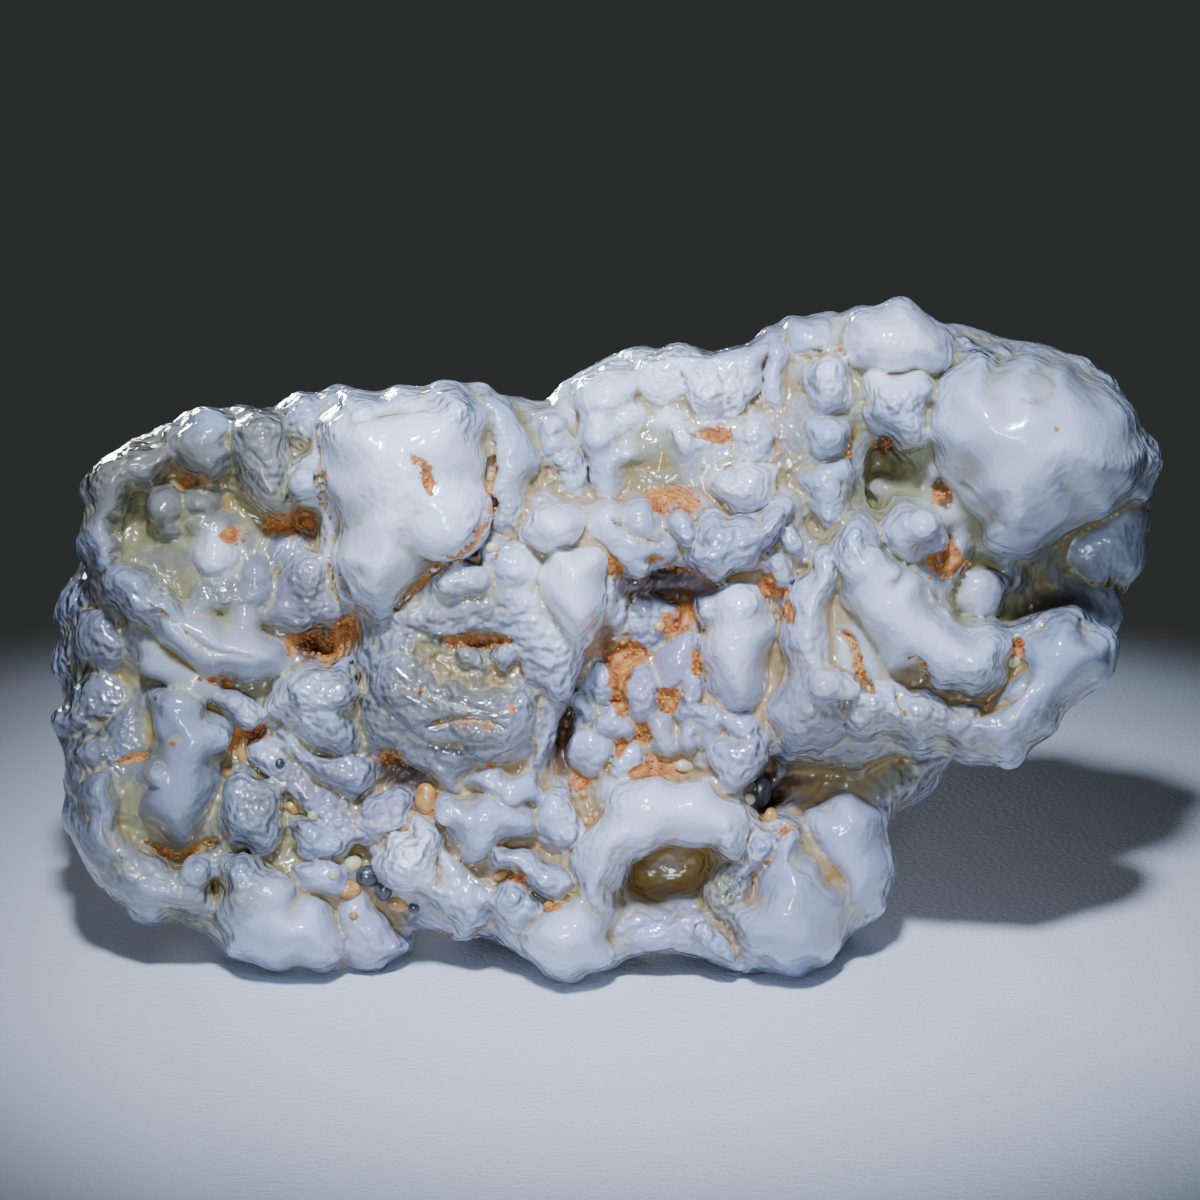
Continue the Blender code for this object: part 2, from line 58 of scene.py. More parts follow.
# The view, in millimetres: the camera looks down by VIEW_TILT at PICTURE_CENTRE.
VIEW_TILT = math.radians(14)
VIEW_DISTANCE = 300.0
PICTURE_CENTRE = Vector((-0.5, 0.0, 23.0))
PICTURE_CENTRE_UP = 26.4
PICTURE_SIDE = 1200
STONE_PIXELS = 1115
STONE_LENGTH = 76
PICTURE_WIDTH = PICTURE_SIDE * STONE_LENGTH / STONE_PIXELS
SENSOR_WIDTH = 36
RIGHT = Vector((1, 0, 0))
UP = Vector((0, math.sin(VIEW_TILT), math.cos(VIEW_TILT)))
AWAY = Vector((0, math.cos(VIEW_TILT), -math.sin(VIEW_TILT)))
VIEWPOINT = PICTURE_CENTRE - VIEW_DISTANCE * AWAY
MM = 0.001

# The grid that the stone is shaped on, and how far from a shape its distance is still worked out.
GRID_LOW = (-39.6, -19.0, -1.6)
GRID_HIGH = (39.6, 19.6, 48.0)
GRID_CELL = 0.27
FAR = 4.5
MARGIN = 1.7
OUTLINE_CELL = 0.09
TINY = 1e-6

# Lobes: how thick they are, how far behind their fronts their beds lie, and how their outlines waver.
LOBE_THICKNESS = 3.6
THICKER_WHEN_WIDE = 0.6
BED_DEPTH = 1.0
BED_CROWN = 0.5
WAVER = 0.2
STRAP_DEPTH = 1.6

# Points between two that are given, on an outline and on a crease, and how many half widths a crease reaches.
OUTLINE_STEPS = 5
CREASE_STEPS = 6
CREASE_REACH = 4

# Widths over which seams are rounded, and the fine groove along the seam of each lobe.
MASS_BLEND = 1.5
BACK_BUMP_BLEND = 0.5
BED_BLEND = 2.6
HOLE_BLEND = 0.8
LOBE_BLEND = 0.9
NODULE_BLEND = 0.9
GROOVE = 0.22
GROOVE_WIDTH = 0.22

STONE_TRIANGLES = 190000
REST_HEIGHT = 0.8
BUMP_SEED = 7
GRAIN_SEED = 5

# Multipliers that scatter one point in each cell of space.
CELL_PRIMES = np.array((73856093, 19349663, 83492791))
POINT_PRIMES = (7919, 104729, 1299709)
POINT_STEPS = 1023

GREY = (0.215, 0.215, 0.195)
BLUE_GREY = (0.19, 0.225, 0.31)
# Pale blue of the bulges, partly painted light.
PALE_BLUE = (0.34, 0.39, 0.52)
LAVENDER = (0.33, 0.31, 0.42)
DUSKY_LILAC = (0.29, 0.24, 0.35)
# Milky white of the stone, made bluer as a painted highlight.
MILK_AND_HIGHLIGHT_WHITE = (0.80, 0.84, 0.96)
CREAM = (0.44, 0.40, 0.28)
SANDY_GREY = (0.20, 0.19, 0.15)
OLIVE_GREY = (0.20, 0.18, 0.07)
OCHRE = (0.27, 0.16, 0.045)
RUST_BROWN = (0.26, 0.08, 0.015)
CLAY_ORANGE = (0.52, 0.21, 0.045)
# Dark brown painted into holes and deep hollows as shade.
PAINTED_SHADE_BROWN = (0.06, 0.022, 0.01)
# Darker grey of clear chalcedony, partly painted shade.
CLEAR_AND_SHADED_GREY = (0.105, 0.100, 0.100)
FLOOR_PALE = (0.62, 0.64, 0.68)
BACKDROP_GREY = (0.030, 0.032, 0.032)
UNLIT_BLACK = (0.004, 0.004, 0.004)
NO_GLOW = (0.0, 0.0, 0.0)
FLOOR_REACH = 0.125
FELT_EDGE = (0.078, 0.100)

# Each kind of grain: its dark and pale colour, roughness and coat.
GRAIN_LOOKS = {
    "dark": ((0.02, 0.025, 0.03), (0.06, 0.065, 0.07), 0.25, 0.6),
    "amber": ((0.30, 0.13, 0.03), (0.50, 0.29, 0.08), 0.25, 0.5),
    "pale": ((0.38, 0.36, 0.20), (0.52, 0.48, 0.30), 0.3, 0.4),
}

# Lamps, as (name, place, aim, watts, colour, cone in degrees, blend, size).
LAMPS = [
    ("key", (-0.012, -0.165, 0.205), (0.001, -0.016, 0.026), 6.2, (0.68, 0.79, 1.0), 29, 1.0, 0.014),
    ("fill", (-0.02, -0.34, 0.05), (0.0, 0.0, 0.028), 2.9, (0.72, 0.82, 1.0), 19, 0.6, 0.03),
    ("back", (-0.12, 0.30, 0.08), (0.0, 0.0, 0.026), 3.6, (0.86, 0.91, 1.0), 17, 0.6, 0.03),
]

# A drift is (feature size, octaves, roughness, offset), in millimetres.
DRIFTS = {
    "cloud": (8.3, 3, 0.6, 0),
    "fine": (2.0, 3, 0.6, 40),
    "bands": (22.0, 1, 0.5, 90),
    "seams": (4.3, 3, 0.65, 130),
    "fields": (14.0, 2, 0.5, 170),
}
HIDDEN_DRIFT = (6.0, 2, 0.6, 60)
HIDDEN_SWELL = 2.2

# Where the skin is knobbly, and where clay is lodged on the hidden side, as (cell, seed).
PATCHES = (7.0, 3)
HIDDEN_CLAY = (5.0, 8)

# Nodules over the skin, as (cell, seed, height anywhere, in patches, on the hidden side).
KNOB_TOP = 0.75
KNOB_SETS = [
    (3.6, 17, 0.06, 0.3, 0.0),
    (2.9, 11, 0.0, 0.0, 0.6),
    (1.5, 29, 0.08, 0.3, 0.25),
    (0.75, 41, 0.04, 0.14, 0.0),
]
RING_HEIGHT = 0.09
RING_REACH = 1.2
CLAY_SPREAD = 1.2
HIDDEN_GRIT = 0.4

# Fine and broad hollows: rounds of smoothing that show them, and the depth that spans from bulge to crevice.
HOLLOW_ROUNDS = (6, 60)
HOLLOW_SPANS = (0.3, 1.6)

# Lodged grains lie at a slant, are flatter than wide and stand a little proud. Crumb sizes are in metres.
GRAIN_TURN = 0.6
GRAIN_FLATNESS = 0.8
GRAIN_LIFT = 0.15
CRUMB_INPUTS = {"Crumbs per square metre": 9e6, "Smallest": 0.00005, "Largest": 0.00019, "Seed": 3}

# Masses under the front, as (right, up, back, half width, half height, half depth, turn in degrees).
INNER_MASSES = [
    (-26.0, 30.3, 2.2, 9.4, 7.9, 9.6, 0),
    (-29.6, 25.4, -1.3, 6.0, 4.6, 7.0, -30),
    (-26.0, 19.0, 2.2, 9.5, 7.0, 9.6, 0),
    (-31.0, 14.5, -2.8, 5.2, 8.5, 7.0, 0),
    (-25.0, 10.8, -2.8, 8.0, 6.8, 7.0, 0),
    (-20.0, 17.8, -3.3, 5.8, 4.2, 6.0, 0),
    (-26.0, 13.0, 2.2, 9.5, 7.5, 9.5, 0),
    (-13.6, 33.0, -3.3, 6.4, 7.2, 7.5, 0),
    (-13.0, 27.0, 1.7, 8.0, 9.0, 9.6, 0),
    (-10.6, 18.8, -2.8, 6.6, 6.2, 7.2, 0),
    (-11.0, 9.4, -3.4, 8.2, 5.6, 7.2, 0),
    (-9.0, 11.5, 1.2, 11.0, 6.5, 9.5, 0),
    (-4.6, 34.2, -1.4, 5.0, 5.4, 7.6, 0),
    (-5.6, 27.0, -3.8, 5.4, 5.4, 7.2, 0),
    (2.6, 20.8, 1.0, 6.4, 8.6, 8.2, 0),
    (4.2, 14.6, -4.0, 7.6, 2.6, 5.4, 0),
    (3.6, 4.7, -6.0, 4.8, 2.1, 6.2, 0),
    (3.5, 22.0, 5.2, 9.0, 10.0, 8.0, 0),
    (4.5, 9.5, 1.2, 7.0, 4.6, 8.2, 0),
    (5.2, 37.2, -2.3, 8.6, 5.4, 7.4, 0),
    (5.4, 31.0, -3.0, 7.2, 3.0, 7.6, 0),
    (14.0, 38.0, -1.8, 3.4, 6.8, 7.2, 0),
    (13.6, 8.6, -2.8, 5.0, 4.6, 7.6, 0),
    (16.4, 22.6, -3.8, 5.0, 8.0, 7.4, 0),
    (23.4, 19.8, -2.4, 6.6, 3.2, 7.0, 0),
    (20.0, 34.5, 4.0, 4.6, 7.0, 7.4, 0),
    (27.6, 37.4, -1.8, 7.6, 4.8, 7.4, -14),
    (27.0, 29.5, 3.5, 6.0, 4.0, 5.6, 0),
    (16.5, 14.8, -0.8, 5.8, 2.7, 5.6, 0),
    (9.4, 21.0, -1.8, 3.2, 6.8, 7.4, 0),
    (-26.6, 30.4, 0.0, 7.6, 5.4, 7.6, 0),
    (3.0, 20.6, -1.2, 5.4, 7.0, 7.4, 0),
    (30.0, 25.8, 2.0, 5.6, 3.6, 5.0, 0),
    (3.6, 36.0, -1.2, 3.0, 4.0, 7.6, 0),
    (-20.0, 9.0, -3.2, 6.6, 3.6, 6.8, 0),
    (-20.0, 13.4, -2.6, 4.4, 3.0, 6.0, 0),
    (17.4, 24.0, -5.6, 4.6, 6.0, 7.2, 0),
    (24.0, 21.6, -4.4, 5.0, 3.6, 7.0, 0),
    (21.6, 31.0, -1.6, 3.6, 4.4, 7.0, 0),
    (-27.0, 30.0, -1.6, 6.0, 4.0, 7.2, 0),
    (-12.0, 26.0, -4.6, 5.0, 4.0, 7.0, 0),
]

# The hidden side, in plain coordinates: (x, y, z, half width, half depth, half height).
BACK_MASSES = [
    (-27.0, 8.0, 19.5, 8.3, 8.0, 8.5),
    (-26.0, 8.0, 9.5, 8.8, 8.0, 7.6),
    (-26.5, 6.0, 27.0, 8.3, 7.5, 6.5),
    (-14.0, 9.5, 20.5, 8.5, 7.8, 8.5),
    (-10.5, 9.0, 9.5, 9.0, 8.0, 7.6),
    (-14.0, 6.0, 28.5, 7.5, 7.5, 6.5),
    (-3.5, 6.5, 26.2, 6.0, 7.2, 6.2),
    (2.5, 9.0, 18.5, 9.0, 7.8, 8.5),
    (7.5, 8.0, 9.2, 8.2, 7.5, 7.4),
    (6.0, 5.5, 30.5, 8.0, 7.5, 6.8),
    (14.5, 7.0, 25.0, 7.5, 7.0, 7.5),
    (15.5, 4.0, 33.0, 5.5, 6.5, 6.0),
    (20.5, 6.0, 20.0, 5.5, 6.5, 5.5),
    (25.5, 3.8, 31.0, 7.5, 6.4, 6.2),
]
REAR_FEET = [
    (-24.5, 8.6, 3.2, 5.6, 5.2, 4.0),
    (7.0, 9.0, 3.2, 5.2, 4.8, 4.0),
]

# Bumps on each hidden mass: how many, their radii, their flatness, and how far out and round they go.
BACK_BUMPS_EACH = 20
BACK_BUMP_RADII = (1.3, 3.1)
BACK_BUMP_DEPTH = 0.8
BACK_BUMP_SPREAD = (0.86, 0.9, 0.86)
BACK_BUMP_SWEEP = 1.1

# Lobes by their outline in the picture plane: (front, crown, rounding, [(right, up), ...]).
# Front is how far forward the middle stands, crown how much it bulges over the rim.
LOBES = [
    # left shoulder
    (-9.4, 1.6, 1.7, [
        (-36.1, 29.0), (-36.2, 32.0), (-36.0, 34.5), (-34.9, 36.2), (-33.0, 37.2), (-31.0, 37.5),
        (-29.9, 36.9), (-30.0, 35.4), (-31.3, 34.4), (-32.9, 33.4), (-33.5, 31.6), (-33.4, 29.4),
        (-34.4, 27.9),
    ]),
    (-9.6, 2.0, 1.8, [
        (-30.5, 37.8), (-29.0, 39.2), (-27.0, 39.6), (-25.4, 39.1), (-25.5, 37.0), (-26.2, 35.0),
        (-27.6, 34.3), (-29.2, 34.9), (-30.2, 36.2),
    ]),
    (-11.0, 1.6, 1.5, [
        (-25.6, 39.0), (-23.6, 39.4), (-22.2, 39.1), (-21.9, 37.0), (-22.0, 35.0), (-21.3, 33.4),
        (-22.3, 32.1), (-23.3, 32.5), (-24.4, 33.4), (-25.3, 34.7), (-26.0, 36.2), (-25.9, 38.0),
    ]),
    (-6.5, 2.0, 1.8, [
        (-22.8, 39.2), (-21.6, 40.6), (-20.0, 40.9), (-18.4, 40.6), (-18.0, 38.0), (-19.4, 35.9),
        (-21.4, 36.0), (-22.6, 37.4),
    ]),
    (-11.4, 0.6, 0.8, [
        (-22.0, 34.5), (-21.6, 35.3), (-20.4, 35.6), (-19.7, 35.0), (-19.7, 34.0), (-20.4, 33.5),
        (-21.5, 33.7),
    ]),
    (-9.8, 1.0, 1.0, [
        (-23.0, 27.6), (-21.6, 29.0), (-20.2, 29.6), (-19.3, 29.2), (-18.8, 27.2), (-17.8, 25.6),
        (-18.6, 24.5), (-20.2, 24.4), (-22.0, 24.2), (-23.6, 24.7), (-23.9, 26.2),
    ]),
    (-12.2, 2.2, 1.7, [
        (-34.6, 28.4), (-33.0, 29.0), (-31.8, 28.6), (-30.4, 27.4), (-29.2, 26.4), (-27.4, 25.4),
        (-25.4, 24.8), (-23.6, 24.0), (-22.3, 23.4), (-21.9, 22.2), (-22.6, 21.0), (-24.2, 20.6),
        (-26.0, 20.8), (-27.4, 20.5), (-28.8, 21.4), (-30.5, 22.8), (-32.0, 24.2), (-33.6, 25.8),
        (-34.7, 27.2),
    ]),
    # nose
    (-16.6, 4.2, 2.8, [
        (-19.8, 38.4), (-18.5, 40.4), (-16.0, 40.7), (-12.0, 41.3), (-10.2, 41.4), (-8.7, 40.5),
        (-8.1, 38.8), (-8.2, 36.6), (-8.3, 34.4), (-8.4, 32.4), (-9.0, 31.0), (-10.2, 30.0),
        (-11.7, 29.2), (-12.6, 28.0), (-13.6, 26.8), (-14.5, 25.7), (-15.4, 25.0), (-16.8, 25.3),
        (-17.9, 26.2), (-18.8, 27.6), (-19.3, 29.2), (-18.6, 30.6), (-18.8, 32.2), (-19.6, 34.2),
        (-19.9, 36.4),
    ]),
    (-11.4, 1.0, 1.1, [
        (-8.8, 40.4), (-7.3, 39.9), (-6.3, 38.4), (-5.3, 37.6), (-4.8, 36.4), (-5.1, 34.8), (-5.8, 33.4),
        (-5.9, 32.0), (-6.4, 31.2), (-7.8, 30.8), (-8.6, 31.4), (-8.3, 33.0), (-8.1, 36.0),
    ]),
    (-6.6, 1.2, 1.2, [
        (-7.0, 39.7), (-5.7, 39.6), (-4.4, 38.8), (-4.8, 37.4), (-6.0, 37.0), (-6.8, 38.2),
    ]),
    # brow
    (-13.2, 1.2, 1.2, [
        (-15.0, 25.1), (-13.4, 26.4), (-12.4, 28.0), (-10.6, 29.0), (-8.9, 29.0), (-7.6, 30.2),
        (-5.8, 30.8), (-4.6, 29.6), (-3.4, 30.0), (-1.6, 29.8), (-0.2, 28.4), (-0.2, 26.0), (-1.0, 23.6),
        (-2.0, 22.0), (-2.4, 20.0), (-4.0, 19.4), (-5.6, 21.0), (-6.6, 22.6), (-8.0, 23.5), (-10.4, 23.4),
        (-12.4, 23.6), (-13.8, 24.6),
    ]),
    (-15.4, 2.2, 1.7, [
        (-5.9, 31.6), (-5.3, 32.8), (-3.8, 33.1), (-2.2, 32.8), (-1.6, 31.4), (-2.0, 30.2), (-3.4, 29.8),
        (-4.8, 29.8), (-5.7, 30.4),
    ]),
    (-16.2, 2.4, 1.9, [
        (-4.6, 28.8), (-3.6, 30.0), (-2.0, 30.2), (-0.6, 29.6), (0.0, 28.2), (-0.2, 26.4), (-0.8, 24.6),
        (-2.0, 23.8), (-3.6, 24.4), (-4.5, 26.2),
    ]),
    (-14.2, 0.9, 0.9, [
        (-12.3, 27.4), (-11.6, 28.5), (-10.0, 29.0), (-8.6, 28.8), (-8.0, 27.6), (-8.6, 26.5),
        (-10.2, 26.4), (-11.8, 26.6),
    ]),
    (-12.4, 0.8, 0.8, [
        (-11.0, 22.6), (-10.4, 23.2), (-9.4, 23.2), (-8.4, 22.6), (-8.2, 21.4), (-8.5, 20.8),
        (-9.6, 21.2), (-10.6, 21.8),
    ]),
    (-12.7, 0.7, 0.7, [
        (-8.1, 22.8), (-7.3, 23.4), (-6.4, 23.0), (-6.1, 22.1), (-7.0, 21.5), (-7.9, 21.8),
    ]),
    # leaf flank, top block
    (-9.4, 0.9, 0.9, [
        (-5.0, 37.8), (-4.3, 39.2), (-3.2, 39.4), (-2.7, 38.2), (-1.9, 36.8), (-1.4, 35.0), (-1.0, 33.4),
        (-1.8, 32.8), (-3.0, 33.2), (-3.8, 34.2), (-4.4, 36.0),
    ]),
    (-6.8, 1.2, 1.4, [
        (-3.0, 39.6), (-2.4, 41.2), (-1.6, 42.1), (0.0, 42.7), (2.2, 43.1), (2.6, 41.4), (2.4, 39.4),
        (0.6, 38.2), (-1.4, 38.4),
    ]),
    (-8.4, 0.8, 1.0, [
        (2.2, 43.1), (4.0, 43.5), (5.3, 43.2), (5.7, 41.6), (5.3, 40.0), (4.2, 39.3), (2.9, 39.9),
        (2.2, 41.2),
    ]),
    (-9.0, 0.6, 0.9, [
        (5.2, 43.2), (8.0, 43.4), (10.0, 44.1), (11.0, 44.0), (10.7, 42.4), (10.1, 40.6), (9.4, 39.4),
        (8.6, 38.4), (7.7, 38.1), (6.8, 38.6), (6.0, 39.6), (5.4, 41.2),
    ]),
    (-10.0, 1.2, 1.3, [
        (4.0, 38.8), (4.9, 39.3), (6.0, 38.7), (7.3, 37.5), (7.0, 36.4), (5.8, 35.6), (4.6, 36.0),
        (3.9, 37.2),
    ]),
    (-9.6, 0.8, 0.9, [
        (8.4, 36.0), (8.8, 37.6), (10.0, 39.2), (11.0, 38.9), (11.7, 37.6), (11.6, 36.2), (10.4, 35.6),
    ]),
    (-12.0, 2.4, 1.9, [
        (7.2, 35.4), (8.6, 36.0), (10.2, 36.1), (11.6, 36.0), (12.0, 34.6), (11.6, 33.0), (10.6, 32.3),
        (9.0, 32.2), (7.6, 32.8), (6.8, 34.0),
    ]),
    (-12.8, 1.4, 1.2, [
        (-1.4, 32.0), (-0.5, 33.0), (1.0, 32.8), (2.0, 33.2), (3.4, 32.6), (4.4, 31.8), (5.2, 30.6),
        (4.8, 29.4), (3.6, 28.6), (2.2, 28.0), (0.8, 28.6), (-0.4, 29.6), (-1.3, 30.6),
    ]),
    (-13.2, 0.8, 0.9, [
        (4.1, 31.6), (5.2, 32.5), (6.3, 31.6), (6.0, 30.4), (5.0, 30.1),
    ]),
    (-13.8, 2.2, 1.6, [
        (5.9, 32.0), (7.3, 32.9), (8.6, 32.2), (10.0, 32.3), (11.0, 33.0), (12.0, 33.4), (12.6, 32.6),
        (12.2, 31.0), (11.4, 29.6), (10.0, 28.6), (8.6, 27.9), (7.2, 27.6), (6.0, 28.2), (5.0, 29.0),
        (5.4, 30.4),
    ]),
    # column
    (-7.2, 1.4, 1.4, [
        (12.1, 44.4), (12.8, 45.8), (14.0, 46.1), (15.0, 45.9), (15.9, 44.8), (15.6, 43.6), (14.4, 43.0),
        (13.0, 42.8), (12.1, 43.6),
    ]),
    (-8.0, 1.0, 1.1, [
        (10.9, 44.0), (12.0, 44.2), (12.6, 42.6), (12.5, 40.4), (12.0, 38.8), (11.0, 39.2), (10.3, 40.8),
        (10.8, 42.6),
    ]),
    (-9.8, 1.4, 1.2, [
        (13.8, 43.0), (15.0, 43.6), (16.2, 43.2), (16.9, 41.6), (16.8, 39.8), (15.6, 39.0), (14.2, 39.2),
        (13.6, 41.0),
    ]),
    (-10.2, 1.2, 1.1, [
        (13.6, 38.8), (15.0, 39.4), (16.6, 38.9), (17.0, 37.4), (16.4, 36.2), (15.0, 35.9), (13.8, 36.6),
        (13.4, 37.8),
    ]),
    (-10.6, 1.6, 1.4, [
        (13.5, 35.4), (14.6, 36.4), (16.0, 36.4), (17.1, 35.2), (17.0, 33.4), (16.4, 31.8), (15.6, 30.9),
        (14.4, 31.6), (13.5, 32.8), (13.2, 34.2),
    ]),
    (-8.6, 0.9, 0.8, [
        (11.9, 38.8), (13.0, 39.2), (13.7, 38.0), (13.7, 36.6), (13.0, 35.0), (12.0, 35.2), (11.6, 36.4),
        (12.2, 37.6),
    ]),
    # head
    (-10.4, 2.6, 2.4, [
        (16.0, 44.6), (16.8, 46.0), (18.2, 46.8), (20.0, 47.3), (21.6, 46.8), (23.0, 45.8), (24.0, 44.2),
        (24.1, 42.8), (22.6, 41.8), (20.8, 41.4), (19.0, 41.6), (17.6, 42.0), (16.6, 42.8),
    ]),
    (-10.8, 1.8, 1.8, [
        (17.8, 42.0), (19.5, 42.6), (21.5, 42.6), (22.8, 41.4), (22.6, 39.4), (22.2, 37.2), (21.0, 36.8),
        (19.6, 37.3), (18.4, 38.2), (17.8, 39.8),
    ]),
    (-15.0, 6.0, 3.0, [
        (22.0, 41.0), (23.6, 42.6), (25.4, 43.5), (27.2, 43.1), (28.6, 43.3), (30.0, 43.2), (32.0, 42.4),
        (33.6, 41.5), (35.4, 40.1), (36.6, 38.2), (37.0, 36.6), (36.9, 34.8), (35.6, 33.2), (33.6, 32.2),
        (31.6, 30.9), (30.0, 29.9), (28.4, 29.2), (26.8, 30.0), (25.6, 31.4), (24.6, 33.0), (23.4, 34.8),
        (22.2, 36.2), (21.7, 38.6),
    ]),
    (-5.0, 1.8, 1.6, [
        (23.8, 44.4), (24.8, 45.1), (27.0, 44.1), (28.8, 43.8), (31.0, 42.8), (33.0, 42.4), (34.6, 41.0),
        (31.0, 40.4), (27.0, 41.0), (24.0, 42.2),
    ]),
    (-3.0, 1.2, 1.3, [
        (35.6, 33.8), (37.2, 34.4), (38.0, 35.6), (37.7, 36.9), (36.8, 37.8), (35.4, 37.0),
    ]),
    (-1.0, 2.0, 2.0, [
        (31.6, 32.2), (34.0, 33.0), (36.6, 33.8), (37.3, 31.5), (37.2, 29.6), (36.2, 28.0), (34.8, 26.7),
        (33.6, 26.2), (32.0, 26.6), (30.4, 27.8), (29.6, 29.4), (30.6, 31.0),
    ]),
    (-11.8, 2.0, 1.6, [
        (18.6, 31.2), (19.6, 32.7), (20.9, 33.2), (22.4, 32.6), (23.5, 31.6), (23.2, 30.2), (22.4, 29.3),
        (21.0, 28.6), (19.6, 29.0), (18.8, 30.0),
    ]),
    (-6.5, 1.2, 1.2, [
        (23.6, 27.6), (24.8, 28.6), (26.6, 28.6), (27.8, 27.4), (27.2, 25.8), (26.2, 25.0), (24.6, 25.0),
        (23.6, 26.0),
    ]),
    # arm and jaw
    (-14.0, 2.4, 1.9, [
        (12.1, 26.0), (13.0, 27.6), (14.2, 29.4), (15.6, 30.2), (16.3, 28.0), (16.0, 25.6), (15.8, 24.0),
        (16.4, 22.4), (17.2, 21.0), (17.6, 19.6), (17.2, 17.6), (15.6, 16.0), (14.0, 15.9), (12.8, 15.5),
        (11.7, 16.6), (11.1, 18.4), (11.8, 20.0), (12.2, 22.0), (12.0, 24.0),
    ]),
    (-16.2, 3.0, 2.2, [
        (15.7, 30.0), (16.6, 32.2), (18.2, 31.6), (19.0, 30.0), (20.4, 28.8), (21.8, 28.0), (22.8, 26.4),
        (23.8, 25.2), (24.8, 24.6), (26.6, 24.4), (27.6, 24.0), (28.1, 23.0), (27.8, 21.6), (27.0, 20.4),
        (25.6, 19.6), (24.0, 19.8), (22.6, 20.2), (21.4, 21.2), (20.2, 21.4), (19.0, 22.0), (18.0, 23.4),
        (17.0, 24.8), (16.2, 26.6),
    ]),
    (-14.2, 2.2, 2.2, [
        (16.6, 20.8), (18.6, 21.4), (20.4, 20.8), (22.4, 20.4), (24.0, 19.8), (26.0, 19.6), (27.6, 20.8),
        (28.4, 22.0), (29.0, 23.8), (30.4, 25.0), (32.0, 25.1), (33.4, 24.2), (34.7, 22.9), (34.3, 21.6),
        (32.8, 20.2), (31.4, 18.6), (30.2, 17.0), (28.6, 15.4), (27.4, 14.9), (25.6, 15.3), (23.8, 15.8),
        (21.4, 16.0), (18.8, 16.6), (17.0, 16.4), (15.6, 17.0), (15.6, 19.0),
    ]),
    (-13.4, 1.6, 1.6, [
        (28.5, 22.2), (29.0, 23.8), (30.4, 24.9), (32.0, 25.0), (33.4, 24.2), (34.7, 22.9), (34.0, 21.4),
        (32.0, 20.2), (30.0, 20.4),
    ]),
    (-5.0, 1.8, 1.5, [
        (11.4, 15.8), (14.0, 16.4), (17.0, 16.6), (20.0, 16.4), (23.7, 15.9), (22.8, 14.0), (20.8, 12.5),
        (19.2, 11.8), (17.6, 12.2), (15.4, 12.4), (13.0, 12.2), (11.4, 13.2),
    ]),
    # left flank
    (-7.6, 1.6, 1.7, [
        (-36.9, 24.5), (-36.4, 25.7), (-35.0, 26.2), (-33.4, 25.4), (-32.3, 24.2), (-32.0, 22.8),
        (-32.8, 21.2), (-34.6, 20.7), (-35.8, 21.6), (-36.6, 23.0),
    ]),
    (-7.2, 1.6, 1.6, [
        (-36.0, 21.6), (-34.2, 22.0), (-32.6, 21.8), (-31.4, 20.8), (-31.3, 19.0), (-31.8, 17.4),
        (-33.0, 16.2), (-35.0, 16.4), (-36.6, 16.6), (-37.9, 17.4), (-38.1, 18.6), (-37.0, 19.6),
    ]),
    (-0.5, 1.6, 1.5, [
        (-37.6, 26.8), (-36.8, 28.2), (-35.4, 28.6), (-34.4, 27.0), (-34.8, 24.0), (-35.8, 21.0),
        (-37.0, 19.4), (-38.0, 21.4), (-37.9, 25.0),
    ]),
    (-8.8, 0.9, 0.9, [
        (-36.6, 16.0), (-35.6, 16.6), (-33.6, 16.4), (-31.8, 15.7), (-33.4, 14.9), (-35.0, 14.1),
        (-36.0, 14.2), (-36.7, 15.0),
    ]),
    (1.5, 1.6, 1.4, [
        (-36.6, 14.4), (-35.0, 15.0), (-34.0, 12.0), (-34.6, 9.6), (-36.4, 9.6), (-37.3, 10.8),
        (-37.5, 12.6), (-37.2, 13.8),
    ]),
    (-13.0, 3.6, 2.4, [
        (-31.7, 20.0), (-30.4, 20.6), (-29.2, 20.2), (-27.8, 19.2), (-26.2, 17.9), (-25.8, 16.4),
        (-26.3, 14.6), (-26.7, 12.4), (-27.0, 10.6), (-28.2, 9.4), (-29.6, 8.9), (-31.0, 9.2),
        (-32.4, 10.6), (-33.1, 12.4), (-33.1, 14.2), (-32.2, 15.6), (-31.7, 17.0), (-31.7, 18.6),
    ]),
    (-12.4, 2.4, 1.8, [
        (-35.9, 14.2), (-36.6, 12.4), (-36.6, 10.6), (-36.0, 8.6), (-35.2, 7.0), (-34.0, 5.6),
        (-33.0, 4.5), (-31.4, 4.0), (-29.5, 4.2), (-28.0, 4.0), (-27.0, 3.4), (-26.6, 4.6), (-26.8, 6.4),
        (-27.0, 8.0), (-27.4, 9.0), (-28.2, 8.8), (-29.6, 8.3), (-31.2, 8.8), (-32.6, 9.8), (-33.5, 11.4),
        (-33.6, 13.0), (-34.2, 14.4), (-35.2, 14.6),
    ]),
    (-13.4, 2.0, 1.5, [
        (-25.2, 14.2), (-24.2, 14.0), (-23.0, 13.4), (-22.4, 12.0), (-22.3, 10.4), (-22.9, 9.0),
        (-24.2, 8.4), (-25.6, 9.0), (-26.6, 9.8), (-26.9, 11.0), (-26.4, 12.4), (-25.9, 13.5),
    ]),
    (-11.8, 1.6, 1.4, [
        (-22.1, 11.0), (-20.8, 11.6), (-19.6, 11.4), (-18.4, 10.6), (-17.8, 9.4), (-18.0, 8.4),
        (-19.0, 7.9), (-20.6, 8.0), (-21.8, 8.6), (-22.3, 9.8),
    ]),
    (-12.4, 1.0, 0.9, [
        (-21.6, 8.0), (-20.0, 8.0), (-18.4, 8.1), (-18.0, 7.0), (-18.6, 5.9), (-20.0, 5.7), (-21.4, 6.1),
        (-21.9, 7.2),
    ]),
    (-15.2, 3.2, 2.2, [
        (-26.9, 8.0), (-26.0, 8.9), (-24.4, 8.5), (-23.0, 8.2), (-21.6, 7.0), (-20.6, 6.0), (-19.2, 5.6),
